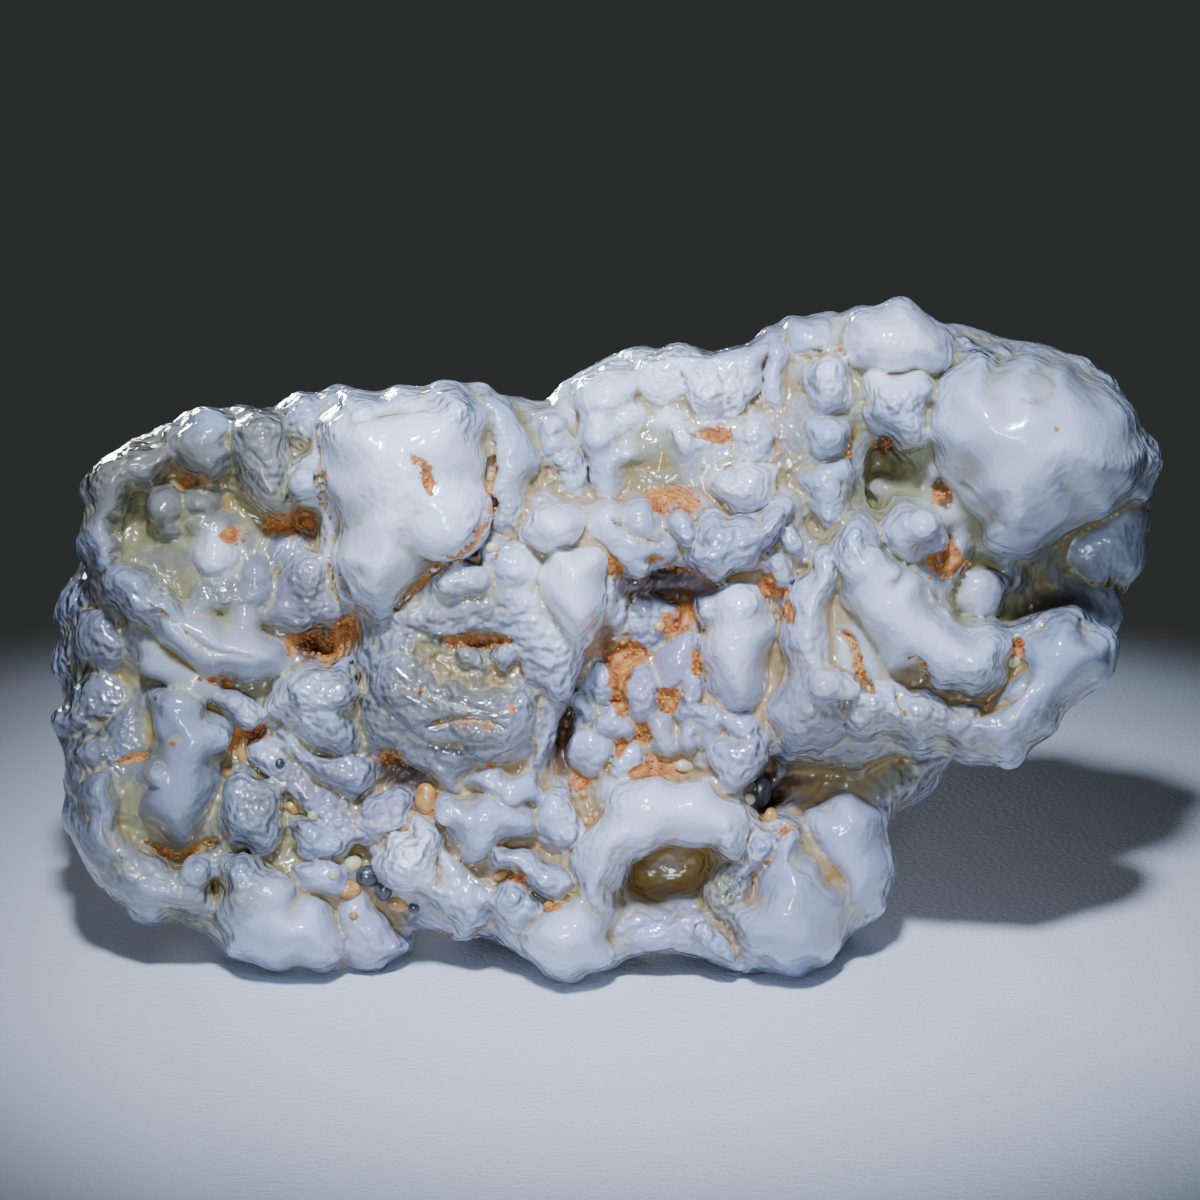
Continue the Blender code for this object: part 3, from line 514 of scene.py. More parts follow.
        (-18.6, 4.4), (-18.1, 2.4), (-18.6, 1.0), (-20.6, 0.6), (-23.0, 0.8), (-25.0, 1.2), (-26.4, 2.4),
        (-27.0, 4.0), (-27.0, 6.0),
    ]),
    (-11.6, 1.6, 1.4, [
        (-18.7, 5.8), (-17.4, 6.1), (-16.2, 5.6), (-15.4, 4.4), (-14.4, 2.8), (-14.0, 1.8), (-16.0, 0.8),
        (-18.0, 0.8), (-18.9, 2.6),
    ]),
    (-10.8, 0.7, 0.7, [
        (-27.1, 19.4), (-26.4, 19.9), (-25.2, 19.8), (-24.2, 18.9), (-23.8, 18.0), (-24.8, 17.6),
        (-25.8, 17.9), (-26.6, 18.6),
    ]),
    # cheek
    (-12.2, 2.2, 1.9, [
        (-23.4, 20.6), (-21.8, 21.8), (-19.6, 22.0), (-18.0, 22.4), (-17.3, 21.4), (-17.3, 19.6),
        (-16.8, 18.0), (-16.5, 16.6), (-17.4, 15.5), (-19.0, 15.3), (-20.6, 15.9), (-21.8, 16.9),
        (-22.8, 18.0), (-23.8, 18.8),
    ]),
    (-11.2, 1.4, 1.3, [
        (-22.4, 17.2), (-20.8, 16.0), (-18.2, 15.8), (-16.0, 15.6), (-16.2, 13.8), (-17.4, 12.7),
        (-19.0, 13.0), (-20.6, 14.2), (-21.8, 15.6),
    ]),
    (-12.6, 1.2, 1.1, [
        (-16.2, 24.6), (-15.0, 24.8), (-13.4, 24.4), (-12.0, 23.6), (-11.0, 23.0), (-9.6, 22.0),
        (-7.8, 21.6), (-6.0, 21.4), (-4.7, 20.4), (-4.7, 18.4), (-5.2, 16.8), (-5.6, 15.2), (-7.4, 14.6),
        (-9.0, 14.3), (-10.0, 13.6), (-10.2, 12.6), (-11.0, 13.1), (-11.6, 13.9), (-12.6, 14.3),
        (-13.8, 15.2), (-15.0, 15.8), (-16.2, 16.2), (-16.7, 17.0), (-16.9, 18.6), (-16.6, 20.4),
        (-16.3, 22.4),
    ]),
    (-14.0, 1.2, 1.0, [
        (-15.8, 22.2), (-14.2, 22.6), (-12.6, 21.9), (-11.0, 20.8), (-9.0, 20.2), (-7.0, 20.0),
        (-5.4, 20.4), (-4.9, 19.0), (-5.4, 17.2), (-6.2, 15.9), (-8.0, 15.3), (-10.0, 15.7),
        (-12.0, 16.4), (-13.6, 17.0), (-14.8, 18.0), (-15.7, 19.6),
    ]),
    (-11.2, 0.8, 0.8, [
        (-5.2, 20.8), (-4.2, 20.2), (-2.9, 19.6), (-3.3, 18.0), (-4.0, 16.0), (-4.4, 14.8), (-5.8, 14.8),
        (-5.2, 16.8), (-4.9, 18.6),
    ]),
    # lower middle
    (-11.2, 1.2, 1.1, [
        (-18.0, 10.9), (-17.0, 12.0), (-16.0, 12.9), (-14.6, 13.2), (-13.4, 12.9), (-13.0, 12.0),
        (-13.6, 11.0), (-14.8, 10.0), (-15.6, 9.2), (-16.8, 9.2), (-17.5, 9.8),
    ]),
    (-14.0, 2.2, 1.7, [
        (-14.7, 10.0), (-13.6, 10.4), (-13.0, 11.3), (-12.2, 10.9), (-11.4, 10.0), (-11.4, 8.6),
        (-11.6, 7.0), (-12.2, 5.7), (-13.6, 5.9), (-15.0, 6.4), (-15.9, 7.4), (-15.9, 8.6),
    ]),
    (-12.6, 1.5, 1.3, [
        (-11.6, 9.5), (-10.4, 8.9), (-9.4, 7.9), (-8.1, 6.8), (-7.9, 5.4), (-7.9, 3.9), (-9.4, 3.2),
        (-10.8, 3.8), (-12.0, 4.9), (-12.8, 5.8), (-12.2, 7.2),
    ]),
    (-14.0, 2.2, 1.7, [
        (-11.7, 12.0), (-11.0, 12.9), (-9.6, 12.9), (-8.0, 13.1), (-6.4, 12.8), (-5.0, 12.0),
        (-4.6, 10.6), (-5.6, 9.6), (-7.0, 9.0), (-8.2, 8.0), (-9.4, 7.9), (-10.6, 9.0), (-11.4, 10.2),
    ]),
    (-12.6, 1.0, 0.9, [
        (-9.8, 13.8), (-8.0, 14.8), (-6.6, 14.2), (-5.2, 14.3), (-4.5, 13.2), (-5.0, 12.1), (-6.6, 12.3),
        (-8.4, 12.6),
    ]),
    (-12.2, 1.2, 1.1, [
        (-5.0, 12.8), (-4.0, 13.4), (-2.8, 12.9), (-2.0, 12.0), (-1.6, 10.6), (-1.8, 9.2), (-3.4, 8.6),
        (-5.0, 9.2), (-5.4, 10.8),
    ]),
    (-14.4, 1.0, 0.9, [
        (-7.7, 9.2), (-6.0, 8.9), (-4.4, 8.2), (-2.8, 7.4), (-2.2, 6.0), (-3.6, 5.3), (-5.0, 6.2),
        (-6.4, 7.3), (-7.6, 8.1),
    ]),
    (-14.0, 1.3, 1.2, [
        (-7.9, 6.0), (-6.8, 6.9), (-5.6, 6.4), (-4.4, 5.4), (-3.9, 4.2), (-5.2, 3.3), (-6.6, 3.4),
        (-7.9, 4.6),
    ]),
    (-16.8, 3.0, 2.2, [
        (-6.1, 3.4), (-5.0, 4.6), (-3.6, 5.6), (-1.6, 6.2), (-0.4, 4.8), (0.2, 3.0), (0.3, 1.6),
        (-0.8, 0.6), (-2.4, 0.0), (-4.2, 0.3), (-5.4, 1.4),
    ]),
    # cave
    (-15.6, 1.8, 1.6, [
        (-2.5, 7.6), (-1.6, 9.6), (-0.4, 11.4), (0.6, 13.0), (2.0, 13.9), (4.0, 13.8), (6.0, 13.6),
        (7.6, 13.0), (8.9, 12.2), (9.7, 11.0), (9.7, 9.6), (9.0, 8.4), (8.0, 8.6), (6.6, 9.2), (5.4, 9.4),
        (3.6, 9.0), (2.0, 8.4), (1.2, 7.6), (0.7, 6.2), (0.3, 4.6), (-1.0, 4.2), (-2.3, 5.6),
    ]),
    (-12.4, 1.2, 1.3, [
        (8.0, 8.4), (9.6, 8.9), (10.5, 7.4), (10.3, 5.6), (9.4, 3.8), (7.8, 3.5), (6.8, 4.6), (6.6, 6.2),
        (7.0, 7.6),
    ]),
    (-13.4, 0.5, 0.5, [
        (6.3, 3.4), (7.2, 3.7), (8.5, 2.2), (8.8, 1.1), (7.8, 1.5), (6.9, 2.4),
    ]),
    (-12.0, 0.8, 0.7, [
        (0.2, 3.8), (1.2, 4.6), (3.4, 4.4), (5.6, 4.4), (6.8, 4.0), (6.2, 3.2), (4.4, 3.1), (2.4, 3.0),
        (0.8, 2.3), (0.0, 2.8),
    ]),
    # right foot
    (-16.0, 3.2, 2.3, [
        (8.7, 4.6), (10.2, 6.4), (11.2, 8.6), (12.0, 10.1), (12.8, 10.3), (13.8, 8.8), (15.0, 7.4),
        (16.0, 5.6), (16.2, 4.0), (15.7, 2.2), (14.8, 0.9), (13.0, 0.3), (11.0, 0.5), (9.4, 1.4),
        (8.5, 2.8),
    ]),
    (-11.0, 2.4, 2.0, [
        (13.0, 10.9), (14.0, 12.0), (16.0, 12.8), (17.6, 12.8), (18.7, 11.6), (19.4, 9.0), (19.4, 7.0),
        (18.8, 5.0), (17.6, 4.1), (16.2, 4.2), (15.0, 6.0), (13.8, 8.4),
    ]),
    (-12.6, 1.2, 1.2, [
        (9.4, 9.6), (10.4, 10.4), (11.8, 10.2), (11.8, 8.6), (10.6, 7.2), (9.6, 7.8),
    ]),
    # chasm and what hangs in it
    (-13.2, 2.8, 2.1, [
        (6.6, 26.0), (7.6, 27.6), (9.0, 28.1), (10.4, 27.9), (11.4, 26.6), (11.7, 24.6), (11.5, 22.4),
        (11.0, 20.4), (10.6, 18.8), (9.6, 18.3), (8.0, 18.8), (6.8, 20.0), (6.4, 22.0), (6.4, 24.0),
    ]),
    (-10.6, 1.0, 1.0, [
        (3.2, 21.4), (3.6, 22.8), (4.8, 23.8), (6.0, 23.7), (6.5, 22.4), (6.1, 21.0), (5.0, 20.1),
        (4.0, 20.0),
    ]),
    (-8.8, 0.8, 0.8, [
        (0.8, 24.6), (1.0, 25.8), (2.2, 26.9), (4.0, 26.5), (5.3, 25.8), (5.2, 24.6), (4.2, 23.5),
        (2.8, 22.9), (1.4, 23.4),
    ]),
    (-9.4, 0.4, 0.4, [
        (-0.3, 24.4), (0.0, 26.8), (1.0, 26.4), (0.8, 24.8),
    ]),
    (-9.8, 0.9, 0.9, [
        (-1.7, 21.0), (-1.0, 22.1), (0.0, 22.1), (1.0, 21.0), (0.8, 19.6), (-0.4, 19.1), (-1.5, 20.0),
    ]),
    (-10.2, 0.8, 0.8, [
        (-0.9, 18.0), (0.2, 19.0), (1.4, 18.3), (2.2, 17.4), (1.8, 16.5), (0.6, 16.4), (-0.4, 17.1),
    ]),
    (-9.2, 0.6, 0.6, [
        (-2.3, 19.2), (-1.6, 19.9), (-0.9, 19.0), (-1.1, 17.9), (-2.0, 17.9),
    ]),
    (-10.2, 0.7, 0.6, [
        (2.9, 18.0), (4.2, 18.7), (5.0, 17.6), (5.1, 16.0), (4.0, 15.1), (3.0, 16.0),
    ]),
    (-10.8, 0.8, 0.7, [
        (5.0, 21.0), (6.0, 21.7), (6.6, 20.0), (6.1, 18.3), (5.0, 18.1), (4.8, 19.6),
    ]),
    (-11.2, 0.6, 0.6, [
        (6.0, 19.0), (7.4, 19.3), (8.0, 18.0), (7.6, 16.6), (6.6, 15.9), (6.0, 17.4),
    ]),
    (-11.6, 0.6, 0.6, [
        (8.0, 18.6), (9.4, 18.5), (10.7, 17.7), (10.0, 16.6), (8.4, 16.7),
    ]),
    (-12.4, 1.0, 0.9, [
        (7.5, 16.5), (9.0, 17.0), (10.8, 16.9), (11.2, 15.4), (10.4, 14.2), (9.0, 12.9), (7.8, 13.5),
        (7.1, 15.0),
    ]),
    (-10.0, 0.8, 0.8, [
        (-2.7, 16.6), (-1.6, 17.4), (0.0, 17.4), (0.6, 16.2), (0.0, 14.7), (-1.2, 14.1), (-2.4, 14.9),
    ]),
    (-10.2, 0.6, 0.6, [
        (0.4, 16.0), (2.0, 16.3), (2.6, 15.0), (1.8, 13.8), (0.4, 13.9),
    ]),
    (-11.8, 1.2, 1.0, [
        (10.5, 29.2), (11.4, 30.1), (12.6, 29.6), (12.9, 28.2), (12.2, 27.1), (11.0, 27.5),
    ]),
    (-11.4, 0.5, 0.5, [
        (12.3, 31.0), (12.9, 31.5), (13.3, 30.6), (13.2, 29.4), (12.6, 29.4), (12.3, 30.2),
    ]),
]

# Small round nodules on the front, as (right, up, back, half width, half height, half depth, turn).
NODULES = [
    (-30.5, 33.1, -7.05, 1.4, 1.29, 2.2, 0),
    (-28, 33.4, -6.85, 1.23, 0.95, 2, 0),
    (-27.4, 31.9, -6.75, 1.9, 0.73, 2.2, 0),
    (-30.2, 31.6, -6.65, 1.01, 0.67, 1.8, 0),
    (-27, 29.7, -7.65, 1.51, 1.62, 2.5, 0),
    (-22.1, 30.1, -5.65, 1.79, 1.68, 2.6, 0),
    (-24.9, 30.4, -6.05, 0.62, 1.23, 1.8, 12),
    (-29.3, 29.6, -6.05, 1.34, 1.68, 2, 0),
    (-27.7, 27.4, -7.65, 1.06, 1.01, 1.9, 0),
    (-26.3, 27.2, -7.85, 1.4, 1.34, 2.1, 0),
    (-24.2, 28.5, -7.65, 1.06, 0.9, 1.9, 0),
    (-24.3, 27.2, -7.85, 1.46, 1.12, 2, 0),
    (-20.6, 28.3, -8.25, 1.12, 1.12, 1.7, 0),
    (-25, 25.2, -8.65, 1.12, 1.01, 1.8, 0),
    (-28.2, 26, -9.05, 1.12, 0.67, 1.6, -20),
    (-11.2, 32.4, -12.85, 3.25, 3.25, 3.7, 0),
    (-4.7, 34, -7.25, 0.9, 1.12, 1.9, 0),
    (-7.2, 38.7, -9.85, 0.78, 0.67, 1.7, 0),
    (-6.5, 37.6, -9.85, 0.67, 0.9, 1.7, 30),
    (-7.6, 36.9, -10.05, 0.56, 0.67, 1.6, 0),
    (-6.8, 35.8, -10.05, 0.78, 1.01, 1.7, 15),
    (-7.7, 34.5, -10.25, 0.67, 0.56, 1.6, 0),
    (-6.6, 33.7, -9.85, 0.78, 1.12, 1.7, 10),
    (-7.2, 32.2, -9.85, 1.01, 0.78, 1.7, 0),
    (-7.9, 30, -11.45, 0.67, 0.56, 1.6, 0),
    (-6.4, 28.8, -11.85, 1.46, 1.34, 2.2, 0),
    (-0.1, 40.9, -7.25, 2.13, 1.4, 2.5, -20),
    (-0.6, 38.1, -8.05, 1.34, 1.68, 2.3, 0),
    (1.3, 39.2, -7.45, 1.23, 1.01, 1.9, -30),
    (1.3, 36.9, -8.05, 1.34, 0.9, 2, 0),
    (-0.1, 36, -8.25, 0.9, 0.78, 1.8, 0),
    (0.1, 34.8, -8.05, 1.01, 1.12, 1.9, 0),
    (3.2, 36.8, -7.45, 0.78, 0.9, 1.7, 0),
    (3.4, 35.2, -7.25, 1.46, 1.01, 1.9, 10),
    (7.1, 41, -8.25, 1.29, 0.84, 1.7, -8),
    (2.2, 32.7, -10.85, 1.01, 0.67, 1.8, 0),
    (0, 32.3, -11.25, 0.78, 0.67, 1.7, 0),
    (15.2, 38, -9.25, 1.12, 1.01, 1.7, 0),
    (15.2, 41.3, -8.85, 1.01, 1.68, 1.7, 0),
    (13.1, 33.8, -6.85, 0.9, 1.23, 2, 0),
    (19.1, 34.5, -3.25, 0.9, 0.67, 1.9, 10),
    (21, 34.8, -3.65, 0.95, 1.12, 2, 0),
    (23.4, 29.1, -3.65, 0.78, 1.01, 1.8, 0),
    (21.8, 31.6, -11.25, 1.12, 1.01, 1.6, 0),
    (9.4, 26.3, -11.45, 1.01, 0.9, 1.8, 0),
    (6.8, 26.2, -9.45, 0.67, 1.12, 1.8, 10),
    (2.3, 20, -8.45, 1.34, 1.96, 2.3, -5),
    (5.6, 17.2, -9.45, 0.56, 1.12, 1.7, 0),
    (-29.4, 18.6, -10.25, 1.68, 1.68, 2.3, 0),
    (-27.2, 17, -10.05, 1.23, 1.23, 2, 0),
    (-30.4, 17.6, -10.25, 0.78, 0.78, 1.7, 0),
    (-31, 14.3, -11.65, 0.78, 0.67, 1.5, 0),
    (-28.2, 7.6, -11.05, 1.12, 1.12, 1.8, 0),
    (-25.2, 7.6, -13.05, 0.9, 1.12, 1.8, 0),
    (-25.1, 5.8, -13.85, 0.9, 0.78, 1.7, 0),
    (-23, 6.2, -13.65, 1.23, 1.01, 1.9, 0),
    (-25.6, 13.1, -11.05, 0.9, 1.01, 1.7, 0),
    (-18.6, 20, -10.85, 1.34, 1.12, 1.8, 0),
    (-20.6, 20.4, -10.65, 1.34, 1.01, 1.8, 0),
    (-6.6, 13, -11.65, 1.01, 0.78, 1.7, 0),
    (-11.1, 11.6, -11.85, 0.78, 0.78, 1.7, 0),
    (-3.9, 11.9, -10.85, 0.9, 0.78, 1.7, 0),
    (-8.8, 6, -11.65, 0.78, 0.67, 1.6, 0),
    (-6.6, 6, -12.85, 0.78, 0.78, 1.7, 0),
    (15, 20.6, -14.05, 1.23, 1.01, 1.7, 0),
    (16.6, 20.4, -13.45, 0.9, 0.78, 1.7, 0),
    (18.2, 29, -14.25, 1.01, 1.12, 1.8, 0),
    (17, 28.8, -14.05, 0.9, 1.12, 1.8, 0),
    (19.4, 28.4, -14.25, 0.9, 0.56, 1.6, 0),
]

# Thin straps and ribs: chains of (right, up, back, radius), run through by one smooth curve.
STRAPS = [
    [(-24.2, 16.0, -8.6, 0.4), (-22.4, 14.6, -9.2, 0.5), (-20.6, 12.8, -9.4, 0.55), (-18.8, 11.2, -9.6, 0.5),
     (-17.6, 10.2, -9.6, 0.4)],
    [(-23.2, 17.0, -8.0, 0.3), (-21.6, 15.2, -8.6, 0.4), (-19.6, 13.0, -8.8, 0.4), (-18.0, 12.0, -8.8, 0.4)],
    [(-31.6, 22.0, -8.6, 0.5), (-30.2, 21.8, -8.8, 0.6), (-28.8, 20.9, -9.2, 0.6), (-27.4, 20.3, -9.4, 0.45)],
    [(-31.8, 23.6, -8.4, 0.4), (-30.0, 22.3, -8.8, 0.5), (-28.2, 21.0, -9.4, 0.4)],
]

# Hollows between the lobes, as (right, up, back, half width, half height, half depth, turn).
HOLES = [
    (-27.4, 30.6, -12.0, 4.6, 3.6, 3.4, 0),
    (-22.6, 31.3, -12.0, 2.4, 1.2, 5.6, 0),
    (-20.5, 23.1, -12.0, 0.9, 0.8, 6.0, 0),
    (-24.4, 16.2, -12.0, 1.0, 0.9, 5.4, 30),
    (-22.4, 14.6, -12.0, 1.2, 0.7, 4.6, 45),
    (-19.6, 12.4, -12.0, 1.2, 0.7, 4.2, 45),
    (-17.0, 7.6, -12.0, 1.8, 1.0, 3.6, 40),
    (-13.8, 14.2, -12.0, 2.0, 1.0, 5.0, 20),
    (-8.8, 23.0, -13.0, 2.0, 0.7, 3.6, 0),
    (1.4, 20.4, -14.0, 4.6, 6.0, 6.0, 0),
    (4.4, 15.6, -14.0, 4.0, 2.4, 5.2, 0),
    (-2.6, 16.8, -14.0, 0.9, 4.0, 8.0, 15),
    (3.6, 27.2, -14.0, 3.2, 1.1, 7.6, 0),
    (4.2, 5.9, -15.0, 3.7, 3.1, 6.8, 0),
    (29.0, 26.2, -12.0, 3.6, 1.0, 8.0, 0),
    (20.0, 35.0, -12.0, 1.6, 1.9, 6.6, 0),
    (23.4, 33.2, -12.0, 0.7, 1.2, 7.0, 20),
    (24.0, 29.2, -12.0, 0.9, 2.0, 5.6, 0),
    (11.2, 13.0, -12.0, 1.5, 2.2, 7.0, 0),
    (3.4, 35.8, -12.0, 1.6, 2.0, 3.4, 0),
]

# Narrow creases on the front, as (line of (right, up) places, half width, depth, amount of clay).
CREASES = [
    ([(-20.0, 38.6), (-19.8, 34.5), (-18.8, 32.0), (-19.0, 28.6), (-17.6, 26.0)], 0.4, 0.6, 0.5),
    ([(-14.5, 25.8), (-11.5, 28.8), (-9.6, 30.0), (-8.2, 32.2), (-8.1, 34.4), (-7.9, 37.4)], 0.4, 0.6, 0.7),
    ([(-33.8, 15.1), (-31.7, 15.7)], 0.3, 0.7, 1.0),
    ([(-31.8, 9.5), (-29.5, 8.5), (-28.0, 9.3), (-27.0, 9.5)], 0.35, 0.7, 1.0),
    ([(20.8, 22.6), (21.8, 21.8), (22.4, 20.3)], 0.25, 0.5, 0.5),
    ([(20.0, 20.0), (20.4, 18.8), (20.9, 18.0)], 0.25, 0.5, 0.4),
    ([(-11.6, 23.6), (-10.0, 23.6), (-8.5, 23.8), (-6.5, 23.5)], 0.35, 0.6, 1.0),
    ([(16.2, 24.1), (16.8, 23.6), (17.2, 22.4), (17.6, 21.2), (18.4, 20.0)], 0.4, 0.8, 0.8),
    ([(-12.0, 16.3), (-9.0, 16.1), (-7.4, 16.2)], 0.3, 0.5, 0.3),
    ([(-12.4, 17.6), (-9.5, 18.0), (-7.0, 17.4)], 0.35, 0.6, 0.6),
    ([(-14.6, 20.6), (-12.4, 19.8), (-10.0, 18.9), (-7.4, 18.4)], 0.3, 0.4, 0.1),
    ([(0.4, 32.0), (1.6, 31.0), (2.8, 30.5), (3.9, 30.4)], 0.3, 0.5, 0.3),
    ([(2.6, 29.0), (3.7, 29.3)], 0.25, 0.4, 1.0),
    ([(-13.4, 36.4), (-12.4, 35.2), (-12.2, 34.0)], 0.7, 0.5, 0.8),
    ([(-18.0, 38.8), (-15.0, 39.6), (-12.0, 39.9)], 0.3, 0.35, 0.0),
    ([(25.0, 18.2), (26.6, 18.9), (28.2, 19.6), (28.9, 20.6)], 0.25, 0.4, 0.3),
    ([(28.3, 23.8), (28.5, 22.6)], 0.3, 0.6, 1.0),
    ([(24.4, 34.6), (25.8, 33.2), (27.4, 31.4), (29.6, 30.9)], 0.3, 0.3, 0.0),
    ([(28.4, 40.8), (29.4, 40.3), (30.6, 40.8), (30.9, 41.8), (29.9, 42.4), (28.8, 42.2)], 0.22, 0.25, 0.0),
    ([(-34.2, 32.4), (-33.4, 32.1)], 0.25, 0.4, 0.0),
    ([(-34.4, 31.0), (-33.5, 30.8)], 0.25, 0.4, 0.0),
    ([(-34.6, 29.8), (-33.6, 29.6)], 0.25, 0.4, 0.0),
    ([(-24.8, 37.0), (-24.0, 35.6), (-23.0, 34.6)], 0.3, 0.4, 0.2),
    ([(-32.6, 26.8), (-30.0, 24.8), (-27.6, 22.9), (-24.6, 22.4)], 0.3, 0.35, 0.1),
    ([(-4.2, 37.6), (-3.0, 38.2)], 0.22, 0.35, 0.0),
    ([(-4.0, 36.4), (-2.4, 37.0)], 0.22, 0.35, 0.0),
    ([(-3.6, 35.2), (-2.0, 35.6)], 0.22, 0.35, 0.0),
    ([(8.6, 39.8), (7.6, 42.4)], 0.25, 0.25, 0.0),
    ([(9.6, 40.6), (8.8, 43.0)], 0.25, 0.25, 0.0),
    ([(8.1, 6.2), (8.8, 5.6), (9.4, 6.2), (9.2, 7.0), (8.6, 7.0)], 0.2, 0.3, 0.0),
    ([(-35.4, 12.6), (-34.6, 10.4), (-33.4, 8.4), (-31.4, 6.9), (-29.0, 6.4)], 0.5, 0.35, 0.0),
    ([(11.0, 8.0), (12.6, 8.4), (13.8, 7.4)], 0.4, 0.3, 0.0),
]

# Tints of the front, as (right, up, half width, half height, amount) for each kind. The dark spots are
# painted shade.
RUST = [
    (0.8, 20.6, 0.8, 2.2, 1.0), (2.0, 22.6, 0.9, 0.8, 1.0), (4.2, 19.4, 0.8, 0.8, 1.0),
    (2.6, 17.2, 0.7, 0.8, 1.0), (1.0, 15.8, 0.4, 0.9, 0.9), (3.2, 14.4, 1.6, 0.7, 1.0),
    (4.9, 25.0, 1.4, 1.1, 0.8), (6.1, 22.0, 0.4, 0.9, 1.0), (11.3, 27.4, 0.8, 0.8, 1.0),
    (4.6, 33.3, 1.7, 0.9, 0.9), (7.6, 37.9, 1.0, 0.5, 0.9), (-12.3, 12.4, 0.9, 0.9, 0.6),
    (-15.0, 15.4, 1.2, 0.4, 0.7), (-8.6, 23.4, 1.8, 0.4, 0.7), (23.4, 29.2, 1.2, 1.1, 0.8),
    (-28.6, 34.8, 1.6, 0.5, 0.5), (-21.9, 31.8, 1.6, 0.9, 0.7), (-26.0, 31.0, 1.0, 1.0, 0.5),
    (-20.4, 23.2, 2.0, 1.0, 0.7), (-18.2, 24.4, 0.9, 0.8, 0.7), (-2.0, 13.6, 0.8, 0.5, 0.6),
    (15.9, 37.0, 0.7, 1.0, 0.4), (12.6, 26.0, 0.5, 1.6, 0.5), (12.4, 10.4, 0.8, 0.4, 0.9),
    (-30.0, 16.2, 0.5, 0.5, 0.4), (-24.6, 16.6, 1.4, 1.2, 0.5), (-6.4, 7.0, 0.8, 0.4, 0.5),
    (-10.0, 3.4, 1.0, 0.5, 0.4), (-3.4, 4.8, 0.9, 0.5, 0.6), (28.4, 23.2, 0.4, 0.8, 0.7),
    (-26.8, 20.6, 1.2, 0.5, 0.5), (0.4, 28.8, 0.8, 0.8, 0.5), (5.2, 28.4, 1.0, 0.4, 0.4),
    (-8.0, 29.6, 0.6, 0.5, 0.6), (-12.4, 35.0, 0.8, 1.2, 0.4), (31.1, 38.4, 0.25, 0.3, 1.0),
    (-13.0, 20.2, 0.25, 0.25, 0.9), (-7.4, 19.5, 0.3, 0.25, 0.9), (-6.6, 18.8, 0.25, 0.25, 0.9),
    (-9.7, 18.0, 0.3, 0.25, 0.9), (-8.3, 17.6, 0.3, 0.25, 0.9), (-7.2, 16.5, 0.25, 0.3, 0.9),
    (-7.9, 14.9, 0.3, 0.25, 0.9), (16.7, 36.6, 0.3, 0.4, 0.9), (15.8, 43.8, 0.3, 0.3, 0.8),
    (19.2, 37.2, 0.5, 0.5, 0.8), (23.2, 33.6, 0.6, 0.7, 0.8), (-9.6, 8.9, 0.6, 0.4, 0.5),
]
# Painted shade: dark brown spots on the holes, the chasm and the cave.
PAINTED_SHADE_SPOTS = [
    (4.0, 27.2, 3.2, 1.0, 1.0), (-3.0, 17.0, 0.6, 2.6, 1.0), (3.4, 7.9, 2.0, 0.5, 0.3),
    (12.6, 13.8, 1.6, 0.4, 0.7), (-14.0, 14.4, 1.6, 1.2, 0.6), (-20.6, 22.9, 0.8, 0.8, 0.9),
    (11.0, 13.0, 1.6, 1.8, 0.6), (19.2, 37.3, 0.5, 0.6, 1.0), (23.4, 33.4, 0.5, 0.7, 1.0),
    (-22.4, 14.4, 1.6, 1.6, 0.5), (30.4, 26.4, 2.2, 0.8, 0.6), (0.0, 24.0, 0.6, 1.6, 0.6),
    (-18.6, 7.0, 2.4, 1.2, 0.4),
]
OLIVE = [
    (3.4, 36.0, 1.8, 2.6, 0.9), (15.2, 36.0, 1.6, 4.2, 0.45), (20.0, 35.0, 2.2, 2.6, 0.8),
    (7.4, 6.6, 1.4, 2.8, 0.8), (-22.4, 33.0, 1.1, 1.6, 0.9), (26.4, 31.2, 3.2, 1.6, 0.35),
    (-28.6, 31.0, 3.4, 3.6, 0.5), (-13.6, 7.6, 1.6, 2.4, 0.3), (3.0, 5.0, 4.0, 2.4, 0.3),
    (24.6, 27.6, 2.2, 2.0, 0.5), (17.6, 20.2, 1.4, 3.0, 0.35), (25.6, 16.0, 3.2, 0.8, 0.5),
    (16.6, 14.0, 5.0, 1.6, 0.55), (-10.6, 22.8, 3.6, 1.2, 0.5), (-33.0, 33.0, 1.4, 3.4, 0.3),
    (-14.0, 26.2, 1.6, 1.6, 0.3), (22.6, 41.0, 0.6, 3.0, 0.4), (33.0, 28.6, 3.4, 2.2, 0.25),
    (8.6, 28.0, 3.2, 0.7, 0.5), (-12.0, 30.0, 3.0, 0.8, 0.35), (-24.2, 25.0, 3.0, 1.0, 0.3),
    (-30.0, 5.6, 4.4, 1.2, 0.25), (-11.0, 5.0, 2.4, 1.2, 0.4),
]
# Milky white patches of the stone, partly painted highlight on the lit tops.
MILK_AND_HIGHLIGHT_SPOTS = [
    (-14.0, 36.5, 6.0, 3.6, 1.0), (18.0, 43.0, 4.0, 2.6, 0.9), (6.0, 40.0, 5.0, 3.0, 0.7),
    (28.0, 36.0, 7.0, 6.0, 0.5), (9.2, 24.6, 2.2, 3.4, 0.7), (-2.4, 28.6, 3.4, 5.0, 1.0),
    (-14.6, 34.4, 5.4, 6.6, 1.0), (-2.4, 27.6, 2.6, 3.4, 1.0), (-3.7, 31.4, 2.4, 1.6, 0.8),
    (-13.6, 8.6, 2.2, 2.4, 0.9), (-27.0, 29.7, 1.4, 1.5, 0.8), (-22.6, 19.4, 3.4, 3.0, 0.35),
    (20.0, 25.0, 6.0, 4.6, 0.55), (28.0, 37.0, 8.0, 6.4, 0.5), (19.6, 44.0, 3.6, 3.2, 0.8),
    (-2.8, 2.6, 3.2, 2.6, 0.4), (4.0, 11.6, 6.0, 3.0, 0.6), (-21.6, 3.8, 3.6, 3.6, 0.3),
    (3.6, 40.6, 7.0, 3.2, 1.0), (-27.2, 22.8, 5.6, 2.8, 0.3), (9.4, 34.6, 2.6, 2.0, 0.7),
]
